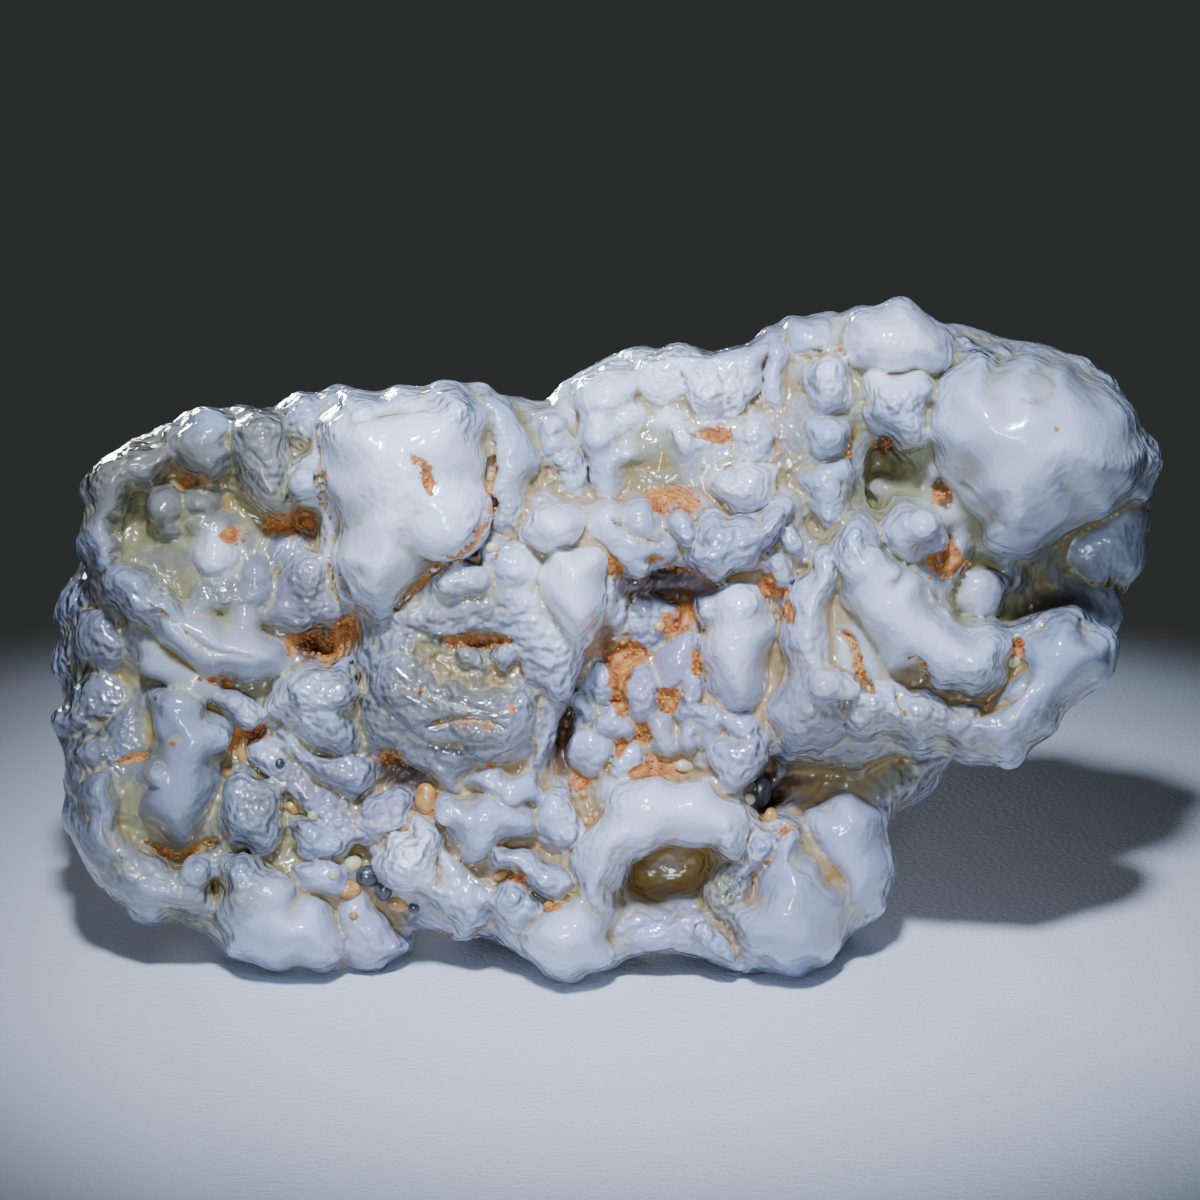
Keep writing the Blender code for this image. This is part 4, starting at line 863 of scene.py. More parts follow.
LILAC = [
    (-15.4, 11.2, 2.6, 2.2, 0.9), (4.9, 22.0, 1.8, 2.0, 0.9), (-16.6, 3.4, 2.2, 2.6, 0.6),
    (-20.8, 26.4, 2.4, 2.6, 0.8), (25.6, 26.8, 2.2, 1.6, 0.8), (2.3, 19.9, 1.2, 1.8, 0.7),
    (-20.4, 13.4, 3.6, 2.4, 0.8), (9.2, 21.0, 1.8, 2.0, 0.4), (21.0, 30.8, 2.4, 2.2, 0.5),
    (13.6, 23.0, 1.8, 6.0, 0.4), (-34.0, 22.6, 2.4, 3.4, 0.5), (3.2, 3.6, 3.0, 1.2, 0.5),
]
SAND = [
    (-31.0, 33.6, 6.0, 5.4, 0.9), (-24.0, 36.6, 3.0, 3.6, 0.7), (-27.0, 24.0, 7.0, 3.4, 0.5),
    (-12.0, 26.6, 4.6, 2.6, 0.6), (-10.4, 18.4, 6.4, 4.4, 0.5), (-6.6, 35.6, 1.8, 4.4, 0.5),
    (2.0, 31.0, 3.6, 2.2, 0.4), (26.0, 33.4, 4.4, 3.4, 0.4), (14.6, 19.0, 3.4, 4.0, 0.5),
    (24.0, 17.6, 7.0, 2.4, 0.5), (-32.8, 8.0, 4.0, 4.6, 0.6), (-23.0, 12.0, 2.6, 2.6, 0.4),
    (18.0, 14.4, 6.0, 2.0, 0.7), (33.0, 29.0, 4.0, 3.0, 0.5), (-28.0, 5.4, 5.0, 1.6, 0.6),
    (14.6, 5.0, 2.0, 4.6, 0.3), (-7.0, 8.6, 4.0, 3.4, 0.3), (-20.0, 26.4, 2.6, 2.6, 0.4),
]
# Where the chalcedony is clear rather than milky: a darker grey that is partly painted shade, on the dim left
# side and in the bowl.
CLEAR_AND_SHADED_SPOTS = [
    (-28.5, 31.0, 6.5, 6.0, 0.55), (-24.0, 26.0, 6.0, 4.0, 0.7), (-27.5, 20.5, 7.0, 2.6, 0.75),
    (-35.5, 18.0, 2.6, 9.0, 0.7), (-30.0, 14.0, 4.0, 5.0, 0.5), (-13.0, 19.0, 6.5, 4.8, 0.5),
    (-24.5, 9.0, 4.0, 3.5, 0.45), (-18.5, 18.0, 3.0, 4.5, 0.4), (30.0, 27.5, 4.0, 3.0, 0.6),
    (13.0, 15.5, 5.0, 2.6, 0.3),
]
TINTS = {
    "clear_and_shaded": CLEAR_AND_SHADED_SPOTS, "rust": RUST, "dark": PAINTED_SHADE_SPOTS, "olive": OLIVE, "milk_and_highlight": MILK_AND_HIGHLIGHT_SPOTS, "lilac": LILAC, "sand": SAND,
}

# Places worn smooth, as (right, up, half width, half height).
SMOOTH_PLACES = [
    (-14.6, 34.0, 6.0, 7.0), (29.0, 36.4, 8.4, 7.0), (20.0, 44.2, 4.2, 3.4), (-2.6, 29.0, 3.0, 5.4),
    (21.0, 25.4, 7.0, 4.6), (9.2, 23.4, 2.8, 5.0), (-29.6, 13.6, 3.8, 5.4), (-22.0, 3.8, 4.0, 3.6),
    (4.0, 12.2, 6.0, 2.6), (-2.8, 2.8, 3.4, 3.0), (13.0, 4.6, 3.6, 5.4), (17.0, 8.6, 2.8, 4.4),
    (31.4, 22.0, 3.8, 3.0), (4.8, 22.0, 1.8, 2.0), (-27.0, 22.6, 7.0, 3.0),
]

# Rings that grew round a point, as (right, up, radius, rings).
RING_PLACES = [
    (-20.6, 28.3, 1.3, 3), (-27.7, 27.4, 1.0, 3), (-26.3, 27.2, 1.3, 3), (9.4, 26.2, 1.3, 3),
    (21.8, 31.7, 1.2, 3), (8.8, 6.2, 1.9, 5), (-18.6, 20.0, 1.3, 3), (-24.3, 12.2, 1.6, 4),
    (7.0, 41.0, 1.4, 3), (-13.4, 8.6, 1.5, 3), (15.2, 38.0, 1.2, 3), (15.2, 34.2, 1.6, 4),
    (-31.0, 14.4, 1.4, 3), (1.4, 12.4, 1.5, 3),
]

# Lodged grains, as (right, up, half width, half height, kind).
GRAINS = [
    (10.6, 13.0, 0.65, 1.05, "dark"),
    (9.7, 12.5, 0.45, 0.4, "pale"),
    (11.3, 11.1, 0.55, 0.75, "amber"),
    (-16.3, 7.1, 0.95, 0.75, "dark"),
    (-15.4, 6.2, 0.6, 0.7, "dark"),
    (-17.6, 8.0, 0.6, 0.55, "pale"),
    (-17.9, 6.2, 0.8, 0.65, "amber"),
    (-17.5, 4.4, 0.3, 0.3, "amber"),
    (-18.9, 7.2, 0.35, 0.3, "pale"),
    (-14.4, 5.3, 0.75, 0.55, "amber"),
    (-13.3, 5.0, 0.4, 0.4, "dark"),
    (-25.0, 16.0, 0.5, 0.95, "amber"),
    (-26.2, 14.3, 0.45, 0.4, "amber"),
    (-21.5, 12.0, 0.65, 0.5, "amber"),
    (-20.3, 11.4, 0.35, 0.35, "pale"),
    (-12.4, 12.5, 0.85, 1.1, "amber"),
    (-7.3, 7.2, 0.5, 0.35, "amber"),
    (-1.4, 10.9, 0.5, 0.45, "amber"),
    (-4.0, 5.0, 0.4, 0.35, "amber"),
    (5.4, 14.9, 0.7, 0.45, "pale"),
    (28.1, 22.1, 0.5, 0.4, "pale"),
    (-7.9, 30.0, 0.5, 0.4, "pale"),
    (12.6, 10.6, 0.4, 0.25, "amber"),
    (1.0, 18.9, 0.4, 0.35, "amber"),
    (3.6, 24.6, 0.4, 0.35, "amber"),
    (-22.6, 15.0, 0.35, 0.35, "dark"),
]


class Socket:
    """A value in a node tree that can be used in sums."""

    def __init__(self, tree, link):
        self.tree = tree
        self.link = link

    def sum(self, operation, *values):
        """One sum with plain numbers or other values of the tree."""
        return self.tree.node("ShaderNodeMath", {"operation": operation}, values)

    def __add__(self, other):
        return self.sum("ADD", self, other)

    def __sub__(self, other):
        return self.sum("SUBTRACT", self, other)

    def __rsub__(self, other):
        return self.sum("SUBTRACT", other, self)

    def __mul__(self, other):
        return self.sum("MULTIPLY", self, other)

    __radd__ = __add__
    __rmul__ = __mul__

    def clamped(self):
        """The value kept between 0 and 1."""
        return self.tree.node("ShaderNodeClamp", {}, {"Value": self})


class Tree:
    """A node tree under construction."""

    def __init__(self, node_tree):
        self.nodes = node_tree.nodes
        self.links = node_tree.links

    def fill(self, socket, value):
        """Links a node's value to a socket, or sets the socket to a plain value or colour."""
        if isinstance(value, Socket):
            self.links.new(value.link, socket)
        elif socket.type == "RGBA":
            socket.default_value = (*value, 1)
        else:
            socket.default_value = value

    def node(self, kind, settings, values, output=0):
        """Adds a node: its settings first, then the values or links of its sockets."""
        made = self.nodes.new(kind)
        for name, value in settings.items():
            setattr(made, name, value)
        pairs = values.items() if isinstance(values, dict) else enumerate(values)
        for name, value in pairs:
            self.fill(made.inputs[name], value)
        return Socket(self, made.outputs[output]) if made.outputs else None


class Finish(Tree):
    """A material under construction."""

    def __init__(self, name):
        self.material = bpy.data.materials.new(name)
        self.material.use_nodes = True
        super().__init__(self.material.node_tree)
        self.shader = self.nodes["Principled BSDF"]

    def attribute(self, name):
        """A value kept at the corners of the mesh."""
        return self.node("ShaderNodeAttribute", {"attribute_name": name}, {}, "Fac")

    def place(self):
        """Where a point of the surface lies, in metres."""
        return self.node("ShaderNodeTexCoord", {}, {}, "Object")

    def noise(self, scale, detail, roughness):
        """Fine cloudy noise, its scale counted per metre."""
        return self.node("ShaderNodeTexNoise", {}, {
            "Vector": self.place(), "Scale": scale, "Detail": detail, "Roughness": roughness,
        })

    def step(self, value, low, high):
        """0 below low, 1 above high, smooth between."""
        return self.node("ShaderNodeMapRange", {"interpolation_type": "SMOOTHSTEP"}, {
            "Value": value, "From Min": low, "From Max": high,
        })

    def mix(self, factor, first, second):
        """The first colour where the factor is 0, the second where it is 1."""
        return self.node("ShaderNodeMix", {"data_type": "RGBA"}, {0: factor, 6: first, 7: second}, 2)

    def bump(self, height, distance, strength):
        """Relief as deep as distance, in metres."""
        return self.node("ShaderNodeBump", {}, {"Height": height, "Distance": distance, "Strength": strength})

    def set(self, **values):
        """Fills sockets of the shader, an underscore in each name standing for a space."""
        for name, value in values.items():
            self.fill(self.shader.inputs[name.replace("_", " ")], value)


def on_sight_line(right, up, back):
    """The point at that distance back that shows at that place in the picture, and its scale there."""
    flat = PICTURE_CENTRE + RIGHT * (right - PICTURE_CENTRE.x) + UP * (up - PICTURE_CENTRE_UP)
    share = (back - VIEWPOINT.y) / (flat.y - VIEWPOINT.y)
    return VIEWPOINT + (flat - VIEWPOINT) * share, share


def in_picture(x, y, z):
    """Where places show in the picture plane: right and up."""
    across, back, height = x - VIEWPOINT.x, y - VIEWPOINT.y, z - VIEWPOINT.z
    share = (back * AWAY.y + height * AWAY.z) / VIEW_DISTANCE
    return PICTURE_CENTRE.x + across / share, PICTURE_CENTRE_UP + (back * UP.y + height * UP.z) / share


def curve_through(points, steps, closed=False):
    """Points on a smooth curve that passes through rows of numbers."""
    rows = [np.array(point, dtype=float) for point in points]
    rows = [rows[-1], *rows, rows[0], rows[1]] if closed else [rows[0], *rows, rows[-1]]
    curve = []
    for a, b, c, d in zip(rows, rows[1:], rows[2:], rows[3:]):
        for step in range(steps):
            t = step / steps
            curve.append(0.5 * (2 * b + (c - a) * t + (2 * a - 5 * b + 4 * c - d) * t**2
                                + (3 * b - a - 3 * c + d) * t**3))
    if not closed:
        curve.append(rows[-1])
    return np.array(curve)


def smooth_step(values, low, high):
    """0 below low, 1 above high, smooth between."""
    t = np.clip((values - low) / (high - low), 0, 1)
    return t * t * (3 - 2 * t)


def outline_distance(right, up, outline):
    """Distance from flat places to a closed outline, less than 0 inside it."""
    nearest = np.full(right.shape, 1e9, dtype=np.float32)
    inside = np.zeros(right.shape, dtype=bool)
    for (x0, y0), (x1, y1) in zip(outline, np.roll(outline, -1, axis=0)):
        dx, dy = x1 - x0, y1 - y0
        t = np.clip(((right - x0) * dx + (up - y0) * dy) / (dx * dx + dy * dy + 1e-12), 0, 1)
        nearest = np.minimum(nearest, (right - x0 - t * dx) ** 2 + (up - y0 - t * dy) ** 2)
        if y0 != y1:
            inside ^= ((up < y0) != (up < y1)) & (right < x0 + (up - y0) * dx / dy)
    return np.where(inside, -1, 1) * np.sqrt(nearest)


def wavering(right, up, phase):
    """Flat places moved a little to and fro, so that an outline measured there wanders."""
    right = right + WAVER * np.sin(1.7 * up + 1.1 * np.sin(1.3 * right + phase) + phase)
    up = up + WAVER * np.sin(1.9 * right + 1.3 * np.sin(1.1 * up) + 2 * phase)
    return right, up


def read_between(values, rights, ups, right, up):
    """Values on a flat grid, read between its lines."""
    column = np.clip((right - rights[0]) / OUTLINE_CELL, 0, len(rights) - 1.001)
    row = np.clip((up - ups[0]) / OUTLINE_CELL, 0, len(ups) - 1.001)
    column, row = np.broadcast_arrays(column, row)
    i, j = column.astype(np.int32), row.astype(np.int32)
    a, b = column - i, row - j
    lower = values[i, j] * (1 - a) + values[i + 1, j] * a
    upper = values[i, j + 1] * (1 - a) + values[i + 1, j + 1] * a
    return lower * (1 - b) + upper * b


class Lump:
    """A solid kept as its distance from the skin on a grid of cells, less than 0 inside."""

    def __init__(self, low, high, cell):
        self.low = np.array(low)
        self.cell = cell
        self.axes = [np.arange(start, stop, cell, dtype=np.float32) for start, stop in zip(low, high)]
        self.depth = np.full([len(axis) for axis in self.axes], FAR, dtype=np.float32)

    def window(self, low, high):
        """The part of the grid within two corners, with its places."""
        parts = []
        for axis, start, stop in zip(self.axes, low, high):
            first, last = np.searchsorted(axis, [start, stop])
            parts.append(slice(max(first - 1, 0), last + 1))
        places = np.ix_(*[axis[part] for axis, part in zip(self.axes, parts)])
        return tuple(parts), places

    def merge(self, parts, distance, blend, groove=0.0):
        """Joins a shape on, rounding the seam over the width of blend and leaving a fine groove along it."""
        old = self.depth[parts]
        overlap = np.maximum(blend - np.abs(old - distance), 0) / blend
        line = groove * np.exp(-((old - distance) / GROOVE_WIDTH) ** 2)
        self.depth[parts] = np.minimum(old, distance) - overlap**2 * blend / 4 + line

    def carve(self, parts, distance, blend):
        """Takes a shape away, rounding the rim over the width of blend."""
        old = self.depth[parts]
        overlap = np.maximum(blend - np.abs(old + distance), 0) / blend
        self.depth[parts] = np.maximum(old, -distance) + overlap**2 * blend / 4

    def add_ball(self, centre, halves, blend, turn=0.0, join=None):
        """Joins on an ellipsoid that is turned in the picture plane by so many degrees."""
        reach = max(halves) + MARGIN
        parts, (x, y, z) = self.window(np.array(centre) - reach, np.array(centre) + reach)
        x, y, z = x - centre[0], y - centre[1], z - centre[2]
        if turn:
            angle = math.radians(turn)
            x, z = x * math.cos(angle) - z * math.sin(angle), x * math.sin(angle) + z * math.cos(angle)
        a, b, c = halves
        reached = np.sqrt((x / a) ** 2 + (y / b) ** 2 + (z / c) ** 2) + TINY
        slope = np.sqrt((x / a**2) ** 2 + (y / b**2) ** 2 + (z / c**2) ** 2) + TINY
        (join or self.merge)(parts, reached * (reached - 1) / slope, blend)

    def add_swelling(self, right, up, back, half_width, half_height, half_depth, turn, blend):
        """Joins on an ellipsoid given by where it shows in the picture."""
        centre, share = on_sight_line(right, up, back)
        self.add_ball(centre, (half_width * share, half_depth, half_height * share), blend, turn)

    def add_hole(self, right, up, back, half_width, half_height, half_depth, turn, blend):
        """Takes away an ellipsoid given by where it shows in the picture."""
        centre, share = on_sight_line(right, up, back)
        self.add_ball(centre, (half_width * share, half_depth, half_height * share), blend, turn, self.carve)

    def add_strap(self, chain, blend):
        """Joins on a rope through rows of right, up, back and radius."""
        for right, up, back, radius in curve_through(chain, OUTLINE_STEPS):
            centre, _ = on_sight_line(right, up, back)
            self.add_ball(centre, (radius, radius * STRAP_DEPTH, radius), blend)

    def add_lobe(self, front, crown, rounding, outline, blend, groove=0.0):
        """Joins on a pillow whose outline is drawn in the picture plane."""
        curve = curve_through(outline, OUTLINE_STEPS, closed=True)
        margin = max(MARGIN, blend)
        low, high = curve.min(axis=0) - margin, curve.max(axis=0) + margin
        rights = np.arange(low[0] - OUTLINE_CELL, high[0] + 2 * OUTLINE_CELL, OUTLINE_CELL)
        ups = np.arange(low[1] - OUTLINE_CELL, high[1] + 2 * OUTLINE_CELL, OUTLINE_CELL)
        flat = outline_distance(*np.meshgrid(rights, ups, indexing="ij"), curve)
        deepest = -flat.min()
        half_thickness = LOBE_THICKNESS / 2 + THICKER_WHEN_WIDE * deepest
        back = front + crown + 2 * half_thickness + margin
        corners = [
            on_sight_line(right, up, depth)[0]
            for right in (low[0], high[0])
            for up in (low[1], high[1])
            for depth in (front - margin, back)
        ]
        parts, (x, y, z) = self.window(np.min(corners, axis=0), np.max(corners, axis=0))
        right, up = wavering(*in_picture(x, y, z), outline[0][0] + outline[0][1])
        edge = read_between(flat, rights, ups, right, up)
        rise = (1 - np.clip(-edge / deepest, 0, 1)) ** 2
        skin = np.abs(y - (front + crown * rise + half_thickness)) - half_thickness
        rim, face = edge + rounding, skin + rounding
        outside = np.sqrt(np.maximum(rim, 0) ** 2 + np.maximum(face, 0) ** 2)
        distance = np.minimum(np.maximum(rim, face), 0) - rounding + outside
        self.merge(parts, distance.astype(np.float32), blend, groove)

    def skin(self):
        """Places and faces of the outer skin."""
        grid = openvdb.FloatGrid(background=FAR)
        grid.copyFromArray(self.depth, tolerance=0.0)
        places, triangles, quads = grid.convertToPolygons(isovalue=0.0, adaptivity=0.0)
        return places * self.cell + self.low, triangles, quads


def back_bumps():
    """Rounded bumps spread over the hidden masses, in a spiral from their backs: centre and radius."""
    chance = random.Random(BUMP_SEED)
    golden = math.pi * (3 - math.sqrt(5))
    for x, y, z, half_width, half_depth, half_height in BACK_MASSES:
        phase = chance.uniform(0, math.tau)
        for index in range(BACK_BUMPS_EACH):
            backwards = 1 - BACK_BUMP_SWEEP * (index + 0.5) / BACK_BUMPS_EACH
            ring = math.sqrt(1 - backwards**2)
            angle = phase + index * golden
            radius = chance.uniform(*BACK_BUMP_RADII)
            across, behind, upwards = BACK_BUMP_SPREAD
            yield (
                x + half_width * across * ring * math.cos(angle),
                y + half_depth * behind * backwards,
                z + half_height * upwards * ring * math.sin(angle),
            ), radius


def new_object(name, data):
    """A mesh, lamp or camera put into the scene."""
    obj = bpy.data.objects.new(name, data)
    bpy.context.scene.collection.objects.link(obj)
    return obj


def mesh_from(name, places, triangles, quads):
    """A mesh made straight from arrays of places, triangles and four-sided faces."""
    mesh = bpy.data.meshes.new(name)
    sizes = np.concatenate([np.full(len(triangles), 3), np.full(len(quads), 4)])
    mesh.vertices.add(len(places))
    mesh.vertices.foreach_set("co", places.astype(np.float32).ravel())
    mesh.loops.add(int(sizes.sum()))
    corners = np.concatenate([triangles.ravel(), quads.ravel()])
    mesh.loops.foreach_set("vertex_index", corners.astype(np.int32))
    mesh.polygons.add(len(sizes))
    mesh.polygons.foreach_set("loop_start", np.concatenate([[0], np.cumsum(sizes)[:-1]]).astype(np.int32))
    mesh.update(calc_edges=True)
    mesh.validate()
    return mesh


def apply_modifiers(obj):
    """Replaces the object's mesh by what its modifiers make of it."""
    graph = bpy.context.evaluated_depsgraph_get()
    old = obj.data
    obj.data = bpy.data.meshes.new_from_object(obj.evaluated_get(graph))
    obj.modifiers.clear()
    bpy.data.meshes.remove(old)


def edge_ends(mesh):
    """The two corners of each edge."""
    edges = np.empty(len(mesh.edges) * 2, dtype=np.int64)
    mesh.edges.foreach_get("vertices", edges)
    return edges.reshape(-1, 2)


def keep_largest_piece(mesh):
    """Drops every loose bit but the one with the most corners."""
    edges = edge_ends(mesh)
    label = np.arange(len(mesh.vertices))
    while True:
        lowest = label.copy()
        np.minimum.at(lowest, edges[:, 0], label[edges[:, 1]])
        np.minimum.at(lowest, edges[:, 1], label[edges[:, 0]])
        lowest = lowest[lowest]
        if np.array_equal(lowest, label):
            break
        label = lowest
    main = np.bincount(label).argmax()
    if np.all(label == main):
        return
    bm = bmesh.new()
    bm.from_mesh(mesh)
    bmesh.ops.delete(bm, geom=[vertex for vertex in bm.verts if label[vertex.index] != main], context="VERTS")
    bm.to_mesh(mesh)
    bm.free()


def corner_places(mesh):
    """One row for each corner of the mesh."""
    places = np.empty(len(mesh.vertices) * 3)
    mesh.vertices.foreach_get("co", places)
    return places.reshape(-1, 3)


def corner_normals(mesh):
    normals = np.empty(len(mesh.vertices) * 3)
    mesh.vertex_normals.foreach_get("vector", normals)
    return normals.reshape(-1, 3)


def set_corner_places(mesh, places):
    mesh.vertices.foreach_set("co", places.ravel())
    mesh.update()


def shown_places(places):
    """Where each place shows in the picture plane, as (right, up) rows."""
    return np.stack(in_picture(places[:, 0], places[:, 1], places[:, 2]), axis=1)


def line_distance(shown, line):
    """Distance in the picture plane from each place to a line through points, and how far along it is."""
    nearest = np.full(len(shown), 1e9)
    along = np.zeros(len(shown))
    for index, (start, end) in enumerate(zip(line, line[1:])):
        step = end - start
        t = np.clip((shown - start) @ step / (step @ step), 0, 1)
        distance = np.linalg.norm(shown - start - t[:, None] * step, axis=1)
        closer = distance < nearest
        nearest[closer] = distance[closer]
        along[closer] = (index + t[closer]) / (len(line) - 1)
    return nearest, along


def crease_weights(shown, half_width, points):
    """How strongly each place lies in a crease: 1 on its line, fading sideways and at its ends."""
    line = curve_through(points, CREASE_STEPS)
    low = line.min(axis=0) - CREASE_REACH * half_width
    high = line.max(axis=0) + CREASE_REACH * half_width
    near = np.flatnonzero(np.all((shown > low) & (shown < high), axis=1))
    distance, along = line_distance(shown[near], line)
    taper = np.sqrt(np.clip(4 * along * (1 - along), 0.15, 1))
    return near, np.exp(-(distance / (half_width * taper)) ** 2)


def cell_distance(places, cell, seed):
    """Distance to the nearest of points scattered one to a cell, in cell widths."""
    grid = places / cell
    base = np.floor(grid).astype(np.int64)
    first = np.full(len(places), 9.0)
    for dx in (-1, 0, 1):
        for dy in (-1, 0, 1):
            for dz in (-1, 0, 1):
                corner = base + (dx, dy, dz)
                mixed = np.bitwise_xor.reduce(corner * CELL_PRIMES, axis=1) ^ seed
                points = [(mixed * prime >> 8 & POINT_STEPS) / POINT_STEPS for prime in POINT_PRIMES]
                scatter = np.stack(points, axis=1)
                first = np.minimum(first, np.linalg.norm(corner + scatter - grid, axis=1))
    return first


def knobs(places, cell, seed):
    """Rounded knobs, 0 between them and 1 on top."""
    return np.sqrt(np.clip(1 - cell_distance(places, cell, seed) ** 2, 0, 1))


def drift(places, size, octaves, roughness, offset):
    """Smooth wandering values about 0.5."""
    falloff = -math.log2(roughness)
    reach = sum(roughness**octave for octave in range(octaves))
    shift = Vector((offset, offset, offset))
    found = [noise.fractal(Vector(place) / size + shift, falloff, 2.0, octaves) for place in places]
    return 0.5 + 0.5 * np.array(found) / reach


def facing_share(normals, low, high):
    """0 where the skin faces the camera by less than low, 1 from high on."""
    return smooth_step(-normals @ np.array(AWAY), low, high)


def spot_distance(shown, right, up, half_width, half_height):
    """Squared distance from a spot in the picture plane, 1 at its rim."""
    return ((shown[:, 0] - right) / half_width) ** 2 + ((shown[:, 1] - up) / half_height) ** 2


def smoothness(shown, normals):
    """1 where the front is worn smooth, 0 elsewhere."""
    smooth = np.zeros(len(shown))
    for place in SMOOTH_PLACES:
        smooth = np.maximum(smooth, 1 - smooth_step(spot_distance(shown, *place), 0.5, 1.3))
    return smooth * facing_share(normals, -0.1, 0.3)


def sculpt(mesh):
    """Pushes the creases in and raises small nodules, thickly on the hidden side and in patches in front."""
    places = corner_places(mesh)
    normals = corner_normals(mesh)
    shown = shown_places(places)
    facing = facing_share(normals, 0.0, 0.5)
    push = np.zeros(len(places))
    for points, half_width, depth, _ in CREASES:
        near, weight = crease_weights(shown, half_width, points)
        push[near] = np.minimum(push[near], -depth * weight * facing[near])
    for right, up, radius, rings in RING_PLACES:
        distance = np.hypot(shown[:, 0] - right, shown[:, 1] - up) / radius
        near = np.flatnonzero(distance < RING_REACH)
        fade = 1 - smooth_step(distance[near], RING_REACH / 2, RING_REACH)
        wave = np.cos(math.tau * rings * distance[near]) * fade
        push[near] += RING_HEIGHT * wave * facing[near]
    hidden = 1 - facing_share(normals, -0.6, -0.1)
    patches = smooth_step(knobs(places, *PATCHES), 0.45, 0.8) * (1 - smoothness(shown, normals))
    push += HIDDEN_SWELL * hidden * (drift(places, *HIDDEN_DRIFT) - 0.5)
    for cell, seed, anywhere, patchy, behind in KNOB_SETS:
        push += (anywhere + patchy * patches + behind * hidden) * (knobs(places, cell, seed) - KNOB_TOP)
    set_corner_places(mesh, places + push[:, None] * normals)


def cavity(mesh, places, normals):
    """How deep each place lies among its neighbours, fine and broad: 0 on a bulge, 1 in a crevice."""
    edges = edge_ends(mesh)
    count = np.bincount(edges.ravel(), minlength=len(places))[:, None]
    smooth = places.copy()
    found = []
    for round_number in range(1, max(HOLLOW_ROUNDS) + 1):
        total = np.zeros_like(smooth)
        for axis in range(3):
            total[:, axis] = np.bincount(edges[:, 0], smooth[edges[:, 1], axis], minlength=len(places))
            total[:, axis] += np.bincount(edges[:, 1], smooth[edges[:, 0], axis], minlength=len(places))
        smooth = 0.5 * smooth + 0.5 * total / count
        if round_number in HOLLOW_ROUNDS:
            found.append(np.einsum("ij,ij->i", smooth - places, normals))
    return [np.clip(0.5 + depth / span, 0, 1) for depth, span in zip(found, HOLLOW_SPANS)]


def add_attribute(mesh, name, values):
    """Keeps one value for each corner of the mesh."""
    layer = mesh.attributes.new(name, "FLOAT", "POINT")
    layer.data.foreach_set("value", values.astype(np.float32))


def make_stone():
    """The agate's skin in millimetres: masses, lobes, nodules and straps, sculpted and then thinned."""
    lump = Lump(GRID_LOW, GRID_HIGH, GRID_CELL)
    for mass in INNER_MASSES:
        lump.add_swelling(*mass, MASS_BLEND)
    for x, y, z, half_width, half_depth, half_height in BACK_MASSES + REAR_FEET:
        lump.add_ball((x, y, z), (half_width, half_depth, half_height), MASS_BLEND)
    for centre, radius in back_bumps():
        lump.add_ball(centre, (radius, radius * BACK_BUMP_DEPTH, radius), BACK_BUMP_BLEND)
    for front, crown, rounding, outline in LOBES:
        lump.add_lobe(front + crown + BED_DEPTH, BED_CROWN, rounding, outline, BED_BLEND)
    for hole in HOLES:
        lump.add_hole(*hole, HOLE_BLEND)
    for front, crown, rounding, outline in LOBES:
        lump.add_lobe(front, crown, rounding, outline, LOBE_BLEND, GROOVE)
    for nodule in NODULES:
        lump.add_swelling(*nodule, NODULE_BLEND)
    for strap in STRAPS:
        lump.add_strap(strap, NODULE_BLEND)
    mesh = mesh_from("agate_skin", *lump.skin())
    keep_largest_piece(mesh)
    sculpt(mesh)
    stone = new_object("agate_skin", mesh)
    thin = stone.modifiers.new("fewer facets", "DECIMATE")
    thin.ratio = min(1, STONE_TRIANGLES / sum(len(face.vertices) - 2 for face in mesh.polygons))
    apply_modifiers(stone)
    return stone


def to_frame(stone):
    """Fits the stone to the solid's box. Returns the fit as a matrix, for the camera and the grit."""
    places = corner_places(stone.data)
    places[:, 2] = np.maximum(places[:, 2], places[:, 2].min() + REST_HEIGHT)
    low, high = places.min(axis=0), places.max(axis=0)
    solid_low, solid_high = (np.array(corner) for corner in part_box("agate"))
    scale = (solid_high - solid_low) / (high - low)
    set_corner_places(stone.data, (places - low) * scale + solid_low)
    return Matrix.Translation(solid_low) @ Matrix.Diagonal((*scale, 1)) @ Matrix.Translation(-low)


def crease_clay(shown, facing):
    """How much clay lies in the creases at each place."""
    clay = np.zeros(len(shown))
    for points, half_width, _, amount in CREASES:
        near, weight = crease_weights(shown, half_width * CLAY_SPREAD, points)
        clay[near] = np.maximum(clay[near], amount * weight * facing[near])
    return clay


def tint_amount(shown, spots):
    """How strongly one tint shows at each place."""
    amount = np.zeros(len(shown))
    for *place, strength in spots:
        amount = np.maximum(amount, strength * np.exp(-0.5 * spot_distance(shown, *place) ** 2))
    return amount


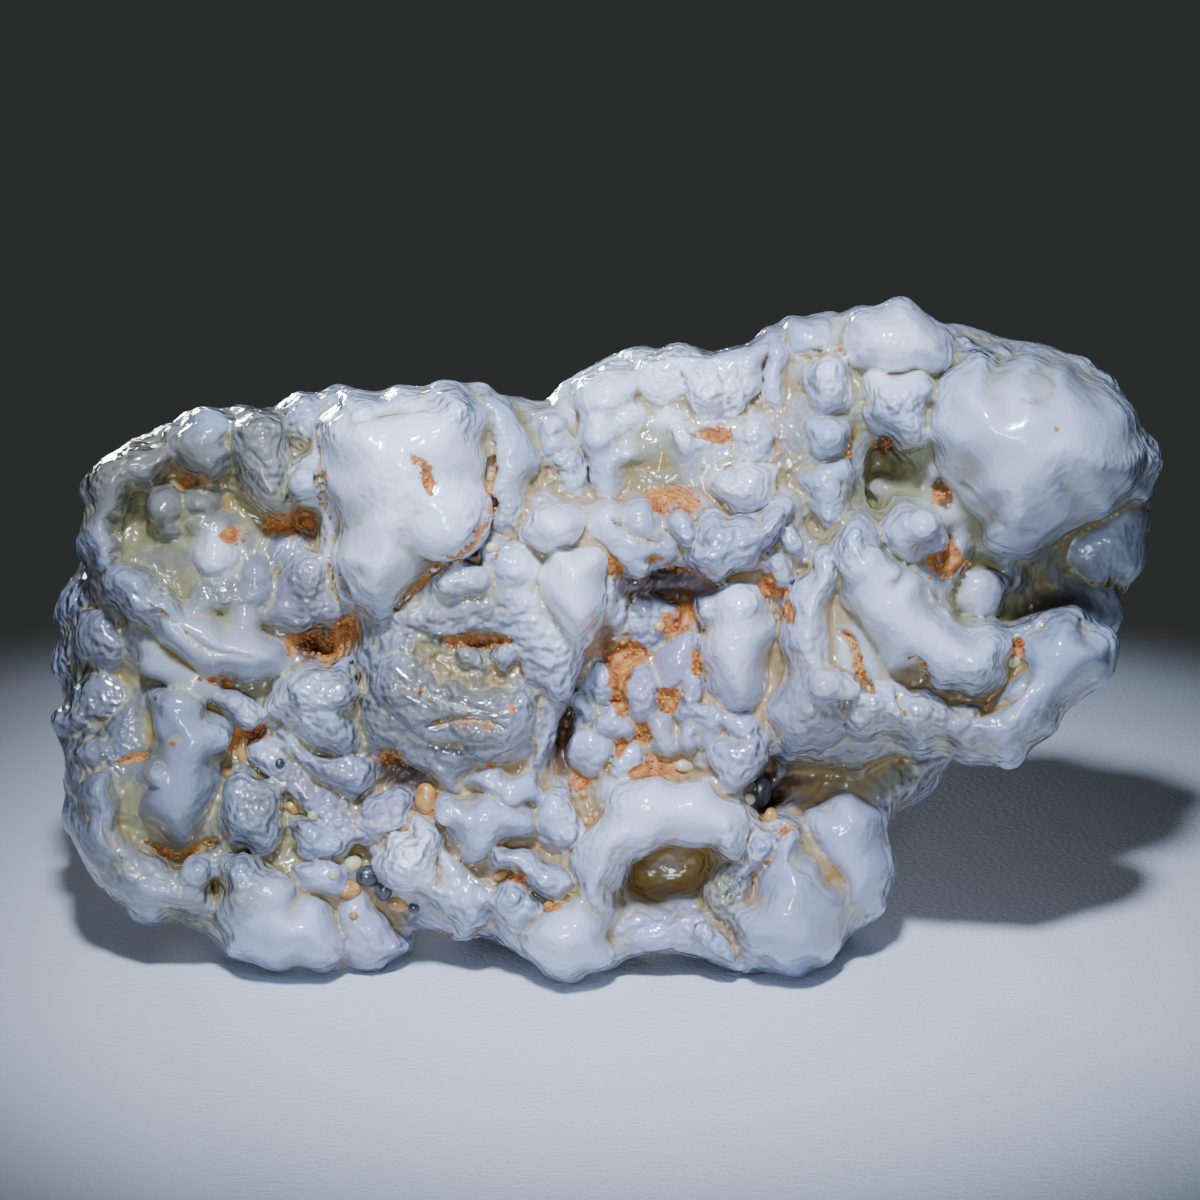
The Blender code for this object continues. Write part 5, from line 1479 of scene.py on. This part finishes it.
def add_stone_attributes(mesh, fit):
    """Drifts of shade, tints, hollows, clay and grit, kept at each corner of the stone."""
    places = corner_places(mesh)
    normals = corner_normals(mesh)
    inverse = np.array(fit.inverted())
    raw = places @ inverse[:3, :3].T + inverse[:3, 3]
    shown = shown_places(raw)
    found = {name: drift(raw, *values) for name, values in DRIFTS.items()}
    found["waxy"] = smooth_step(found["cloud"], 0.44, 0.6)
    found["rough"] = (1 - 0.8 * smoothness(shown, normals)) * (0.3 + 0.7 * found["waxy"])
    front = smooth_step(-raw[:, 1], -2.0, 3.0)
    for name, spots in TINTS.items():
        found[name] = tint_amount(shown, spots) * front
    found["clay"] = crease_clay(shown, facing_share(normals, -0.1, 0.3))
    fine, broad = cavity(mesh, raw, normals)
    found["fine_hollow"] = fine
    found["broad_hollow"] = broad
    rusty = found["rust"] * smooth_step(broad, 0.35, 0.6)
    lodged = found["clay"] * smooth_step(fine, 0.45, 0.6)
    behind = (1 - front) * smooth_step(broad + 0.4 * (knobs(raw, *HIDDEN_CLAY) - 0.8), 0.62, 0.85)
    found["grit"] = np.maximum(np.maximum(rusty, lodged), HIDDEN_GRIT * behind)
    for name, values in found.items():
        add_attribute(mesh, name, values)


def milky_colour(finish, cloud, bands, broad):
    """Pale blue on the bulges and grey lower down, the stone's own milky tones partly painted as light on the
    bulges and shade in the hollows; drifting to lavender, sand, clear grey and milk.
    """
    # Partly painted light and shade: pale blue on the bulges, grey down in the hollows.
    milky_lit_bulges = finish.step(1 - broad + 0.6 * (cloud - 0.5), 0.46, 0.76)
    lower = finish.mix(finish.step(cloud, 0.38, 0.64), GREY, BLUE_GREY)
    colour = finish.mix(milky_lit_bulges, lower, PALE_BLUE)
    colour = finish.mix(finish.step(bands, 0.5, 0.7) * 0.35, colour, LAVENDER)
    colour = finish.mix(finish.attribute("lilac") * 0.7, colour, DUSKY_LILAC)
    sandy = finish.step(finish.attribute("sand") + 0.9 * (cloud - 0.5), 0.15, 0.9)
    colour = finish.mix(sandy, colour, SANDY_GREY)
    # Clear grey, partly painted shade on the dim left side and in the bowl.
    clear_and_shaded = finish.attribute("clear_and_shaded") + 0.8 * (cloud - 0.5)
    colour = finish.mix(clear_and_shaded.clamped(), colour, CLEAR_AND_SHADED_GREY)
    # Milky white, partly painted highlight on the lit tops.
    milk_and_highlight = finish.attribute("milk_and_highlight") * (0.55 + 0.6 * cloud)
    return finish.mix(milk_and_highlight.clamped(), colour, MILK_AND_HIGHLIGHT_WHITE)


def hollow_colour(finish, colour, cloud, fine, bands, narrow, broad):
    """Cream where lobes meet, olive and ochre in the hollows."""
    rims = finish.step(narrow + 0.25 * (fine - 0.5), 0.54, 0.72)
    colour = finish.mix(rims * 0.6, colour, CREAM)
    olive = finish.step(finish.attribute("olive") + 0.5 * (cloud - 0.5) + 0.4 * (broad - 0.5), 0.2, 0.75)
    colour = finish.mix(olive * 0.75, colour, OLIVE_GREY)
    deep = finish.step(broad + 0.35 * (fine - 0.5), 0.52, 0.85)
    colour = finish.mix(deep * 0.8, colour, finish.mix(finish.step(bands, 0.4, 0.6), OLIVE_GREY, OCHRE))
    seams = finish.step(narrow + 0.5 * (finish.attribute("seams") - 0.5), 0.84, 0.97)
    return finish.mix(seams * finish.step(finish.attribute("fields"), 0.46, 0.56), colour, OCHRE)


def agate_finish():
    """Waxy, milky chalcedony with a wet gloss, dull where clay lies on it and where shade is painted into its
    holes and hollows.
    """
    finish = Finish("milky_agate")
    cloud = finish.attribute("cloud")
    fine = finish.attribute("fine")
    bands = finish.attribute("bands")
    narrow = finish.attribute("fine_hollow")
    broad = finish.attribute("broad_hollow")
    specks = finish.noise(1500, 2, 0.65)
    colour = milky_colour(finish, cloud, bands, broad)
    colour = hollow_colour(finish, colour, cloud, fine, bands, narrow, broad)
    rust = finish.attribute("rust") * (0.6 + 0.9 * finish.step(fine, 0.35, 0.6)) + 0.5 * (narrow - 0.5)
    lines = finish.attribute("clay") * finish.step(specks, 0.36, 0.54)
    clay = (finish.step(rust, 0.42, 0.62) + finish.step(lines, 0.3, 0.6)).clamped()
    colour = finish.mix(clay, colour, finish.mix(finish.step(specks, 0.35, 0.65), RUST_BROWN, CLAY_ORANGE))
    # Painted shade: dark brown in the holes and deep hollows, which also makes them a little rougher.
    painted_shade = finish.step(finish.attribute("dark") + 0.5 * (broad - 0.5) + 0.3 * (fine - 0.5), 0.3, 0.8)
    relief = finish.noise(1100, 1, 0.6) * finish.attribute("rough")
    finish.set(
        Base_Color=finish.mix(painted_shade * 0.85, colour, PAINTED_SHADE_BROWN),
        Normal=finish.bump(relief, 0.0012, 0.9),
        Roughness=0.13 + clay * 0.55 + painted_shade * 0.2 + finish.step(fine, 0.4, 0.7) * 0.14,
        Coat_Weight=(1 - clay) * (0.35 + 0.65 * finish.attribute("waxy")),
        Coat_Roughness=0.05,
        Coat_IOR=1.5,
        IOR=1.54,
        Subsurface_Weight=0.15,
        Subsurface_Radius=(1.0, 0.92, 0.95),
        Subsurface_Scale=0.002,
    )
    return finish.material


def grain_finish(name, dark, pale, roughness, coat):
    """Mottled grit between two colours."""
    finish = Finish(name)
    mottle = finish.step(finish.noise(900, 3, 0.6), 0.35, 0.65)
    finish.set(
        Base_Color=finish.mix(mottle, dark, pale),
        Normal=finish.bump(finish.noise(2500, 4, 0.6), 0.0001, 0.5),
        Roughness=roughness,
        Coat_Weight=coat,
        Subsurface_Weight=0.2,
        Subsurface_Scale=0.0003,
    )
    return finish.material


def grain_seats(stone, fit):
    """Where each lodged grain sits, by kind: the line of sight through its place meets the stone there."""
    tree = BVHTree.FromPolygons([vertex.co for vertex in stone.data.vertices],
                                [face.vertices for face in stone.data.polygons])
    eye = fit @ VIEWPOINT
    chance = random.Random(GRAIN_SEED)
    seats = {}
    for right, up, half_width, half_height, kind in GRAINS:
        aim = fit @ on_sight_line(right, up, 0)[0]
        place, normal, _, _ = tree.ray_cast(eye, (aim - eye).normalized())
        turn = Matrix.Rotation(chance.uniform(0, GRAIN_TURN), 4, UP)
        half_depth = GRAIN_FLATNESS * min(half_width, half_height)
        size = Matrix.Diagonal((half_width * MM, half_depth * MM, half_height * MM, 1))
        lift = Matrix.Translation(place + GRAIN_LIFT * MM * half_width * normal)
        seats.setdefault(kind, []).append((lift @ turn @ size, chance.randrange(1000)))
    return seats


def make_grains(stone, fit):
    """The sand grains in the crevices, joined in one piece of each kind."""
    bm = bmesh.new()
    bmesh.ops.create_icosphere(bm, subdivisions=3, radius=1)
    ball = np.array([vertex.co for vertex in bm.verts])
    ball_faces = np.array([[vertex.index for vertex in face.verts] for face in bm.faces])
    bm.free()
    for kind, seats in grain_seats(stone, fit).items():
        places = []
        for matrix, seed in seats:
            lumpy = ball * (1 + 0.25 * (knobs(ball + 10, 1.1, seed) - 0.8))[:, None]
            grid = np.array(matrix)
            places.append(lumpy @ grid[:3, :3].T + grid[:3, 3])
        faces = np.concatenate([ball_faces + index * len(ball) for index in range(len(seats))])
        no_quads = np.empty((0, 4), dtype=np.int32)
        name = f"{kind}_grains"
        heap = new_object(name, mesh_from(name, np.concatenate(places), faces, no_quads))
        heap.data.shade_smooth()
        heap.data.materials.append(grain_finish(f"{kind}_sand", *GRAIN_LOOKS[kind]))
        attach(heap, "root")


def crumb_tree():
    """Geometry Nodes that scatter small crumbs where the surface holds grit."""
    group = bpy.data.node_groups.new("crumbs", "GeometryNodeTree")
    group.interface.new_socket("Geometry", in_out="INPUT", socket_type="NodeSocketGeometry")
    group.interface.new_socket("Geometry", in_out="OUTPUT", socket_type="NodeSocketGeometry")
    for name, value in CRUMB_INPUTS.items():
        kind = "NodeSocketInt" if isinstance(value, int) else "NodeSocketFloat"
        group.interface.new_socket(name, in_out="INPUT", socket_type=kind)
    tree = Tree(group)

    def given(name):
        return tree.node("NodeGroupInput", {}, {}, name)

    grit = tree.node("GeometryNodeInputNamedAttribute", {"data_type": "FLOAT"}, {"Name": "grit"}, "Attribute")
    points = tree.node("GeometryNodeDistributePointsOnFaces", {}, {
        "Mesh": given("Geometry"),
        "Density": grit * given("Crumbs per square metre"),
        "Seed": given("Seed"),
    }, "Points")
    crumb = tree.node("GeometryNodeMeshIcoSphere", {}, {"Radius": 1.0, "Subdivisions": 1}, "Mesh")
    turn = tree.node("FunctionNodeRandomValue", {"data_type": "FLOAT_VECTOR"}, {
        "Max": (math.tau, math.tau, math.tau), "Seed": given("Seed"),
    })
    size = tree.node("FunctionNodeRandomValue", {"data_type": "FLOAT"}, {
        2: given("Smallest"), 3: given("Largest"), "Seed": given("Seed"),
    }, 1)
    placed = tree.node("GeometryNodeInstanceOnPoints", {}, {
        "Points": points, "Instance": crumb, "Rotation": turn, "Scale": size,
    })
    real = tree.node("GeometryNodeRealizeInstances", {}, {"Geometry": placed})
    clay = grain_finish("clay_crumb", RUST_BROWN, CLAY_ORANGE, 0.7, 0.0)
    coated = tree.node("GeometryNodeSetMaterial", {}, {"Geometry": real, "Material": clay})
    tree.node("NodeGroupOutput", {}, {"Geometry": coated})
    return group


def make_crumbs(stone):
    """Fine crumbs of clay where the stone holds grit."""
    crumbs = new_object("clay_crumbs", stone.data.copy())
    scatter = crumbs.modifiers.new("crumbs", "NODES")
    scatter.node_group = crumb_tree()
    for item in scatter.node_group.interface.items_tree:
        if item.name in CRUMB_INPUTS:
            scatter[item.identifier] = CRUMB_INPUTS[item.name]
    apply_modifiers(crumbs)
    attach(crumbs, "root")


def make_camera(fit):
    """The camera at VIEWPOINT, looking at PICTURE_CENTRE, where its picture is PICTURE_WIDTH wide."""
    data = bpy.data.cameras.new("camera")
    data.sensor_width = SENSOR_WIDTH
    data.lens = SENSOR_WIDTH * VIEW_DISTANCE / PICTURE_WIDTH
    data.clip_start = 0.01
    camera = new_object("camera", data)
    camera.location = fit @ VIEWPOINT
    sight = (fit @ PICTURE_CENTRE) - camera.location
    camera.rotation_euler = sight.to_track_quat("-Z", "Y").to_euler()
    bpy.context.scene.camera = camera


def make_lamp(name, place, aim, watts, colour, cone, blend, size):
    """A lamp with a narrow cone, at a place in metres and aimed at another."""
    data = bpy.data.lights.new(name, "SPOT")
    data.energy = watts
    data.color = colour
    data.spot_size = math.radians(cone)
    data.spot_blend = blend
    data.shadow_soft_size = size
    lamp = new_object(name, data)
    lamp.location = place
    lamp.rotation_euler = (Vector(aim) - Vector(place)).to_track_quat("-Z", "Y").to_euler()


def felt_finish():
    """Pale felt under the stone that ends in a plain dark ground."""
    finish = Finish("pale_felt")
    reach = finish.node("ShaderNodeVectorMath", {"operation": "LENGTH"}, [finish.place()], "Value")
    beyond = finish.step(reach, *FELT_EDGE)
    finish.set(
        Base_Color=finish.mix(beyond, FLOOR_PALE, UNLIT_BLACK),
        Normal=finish.bump(finish.noise(2200, 1, 0.6), 0.0003, 0.4),
        Emission_Color=finish.mix(beyond, NO_GLOW, BACKDROP_GREY),
        Emission_Strength=1.0,
        Roughness=0.95,
        Specular_IOR_Level=0.0,
    )
    return finish.material


def make_studio():
    """The floor, the dark room and the lamps."""
    mesh = bpy.data.meshes.new("floor")
    bm = bmesh.new()
    bmesh.ops.create_grid(bm, x_segments=1, y_segments=1, size=FLOOR_REACH)
    bm.to_mesh(mesh)
    bm.free()
    mesh.materials.append(felt_finish())
    new_object("floor", mesh)
    world = bpy.data.worlds.new("studio")
    world.use_nodes = True
    world.node_tree.nodes["Background"].inputs["Color"].default_value = (*BACKDROP_GREY, 1)
    bpy.context.scene.world = world
    for lamp in LAMPS:
        make_lamp(*lamp)


def main():
    """Dresses the solid and lights it."""
    stone = make_stone()
    fit = to_frame(stone)
    add_stone_attributes(stone.data, fit)
    stone.data.shade_smooth()
    stone.data.materials.append(agate_finish())
    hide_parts("agate")
    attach(stone, "root")
    make_grains(stone, fit)
    make_crumbs(stone)
    make_studio()
    make_camera(fit)


main()
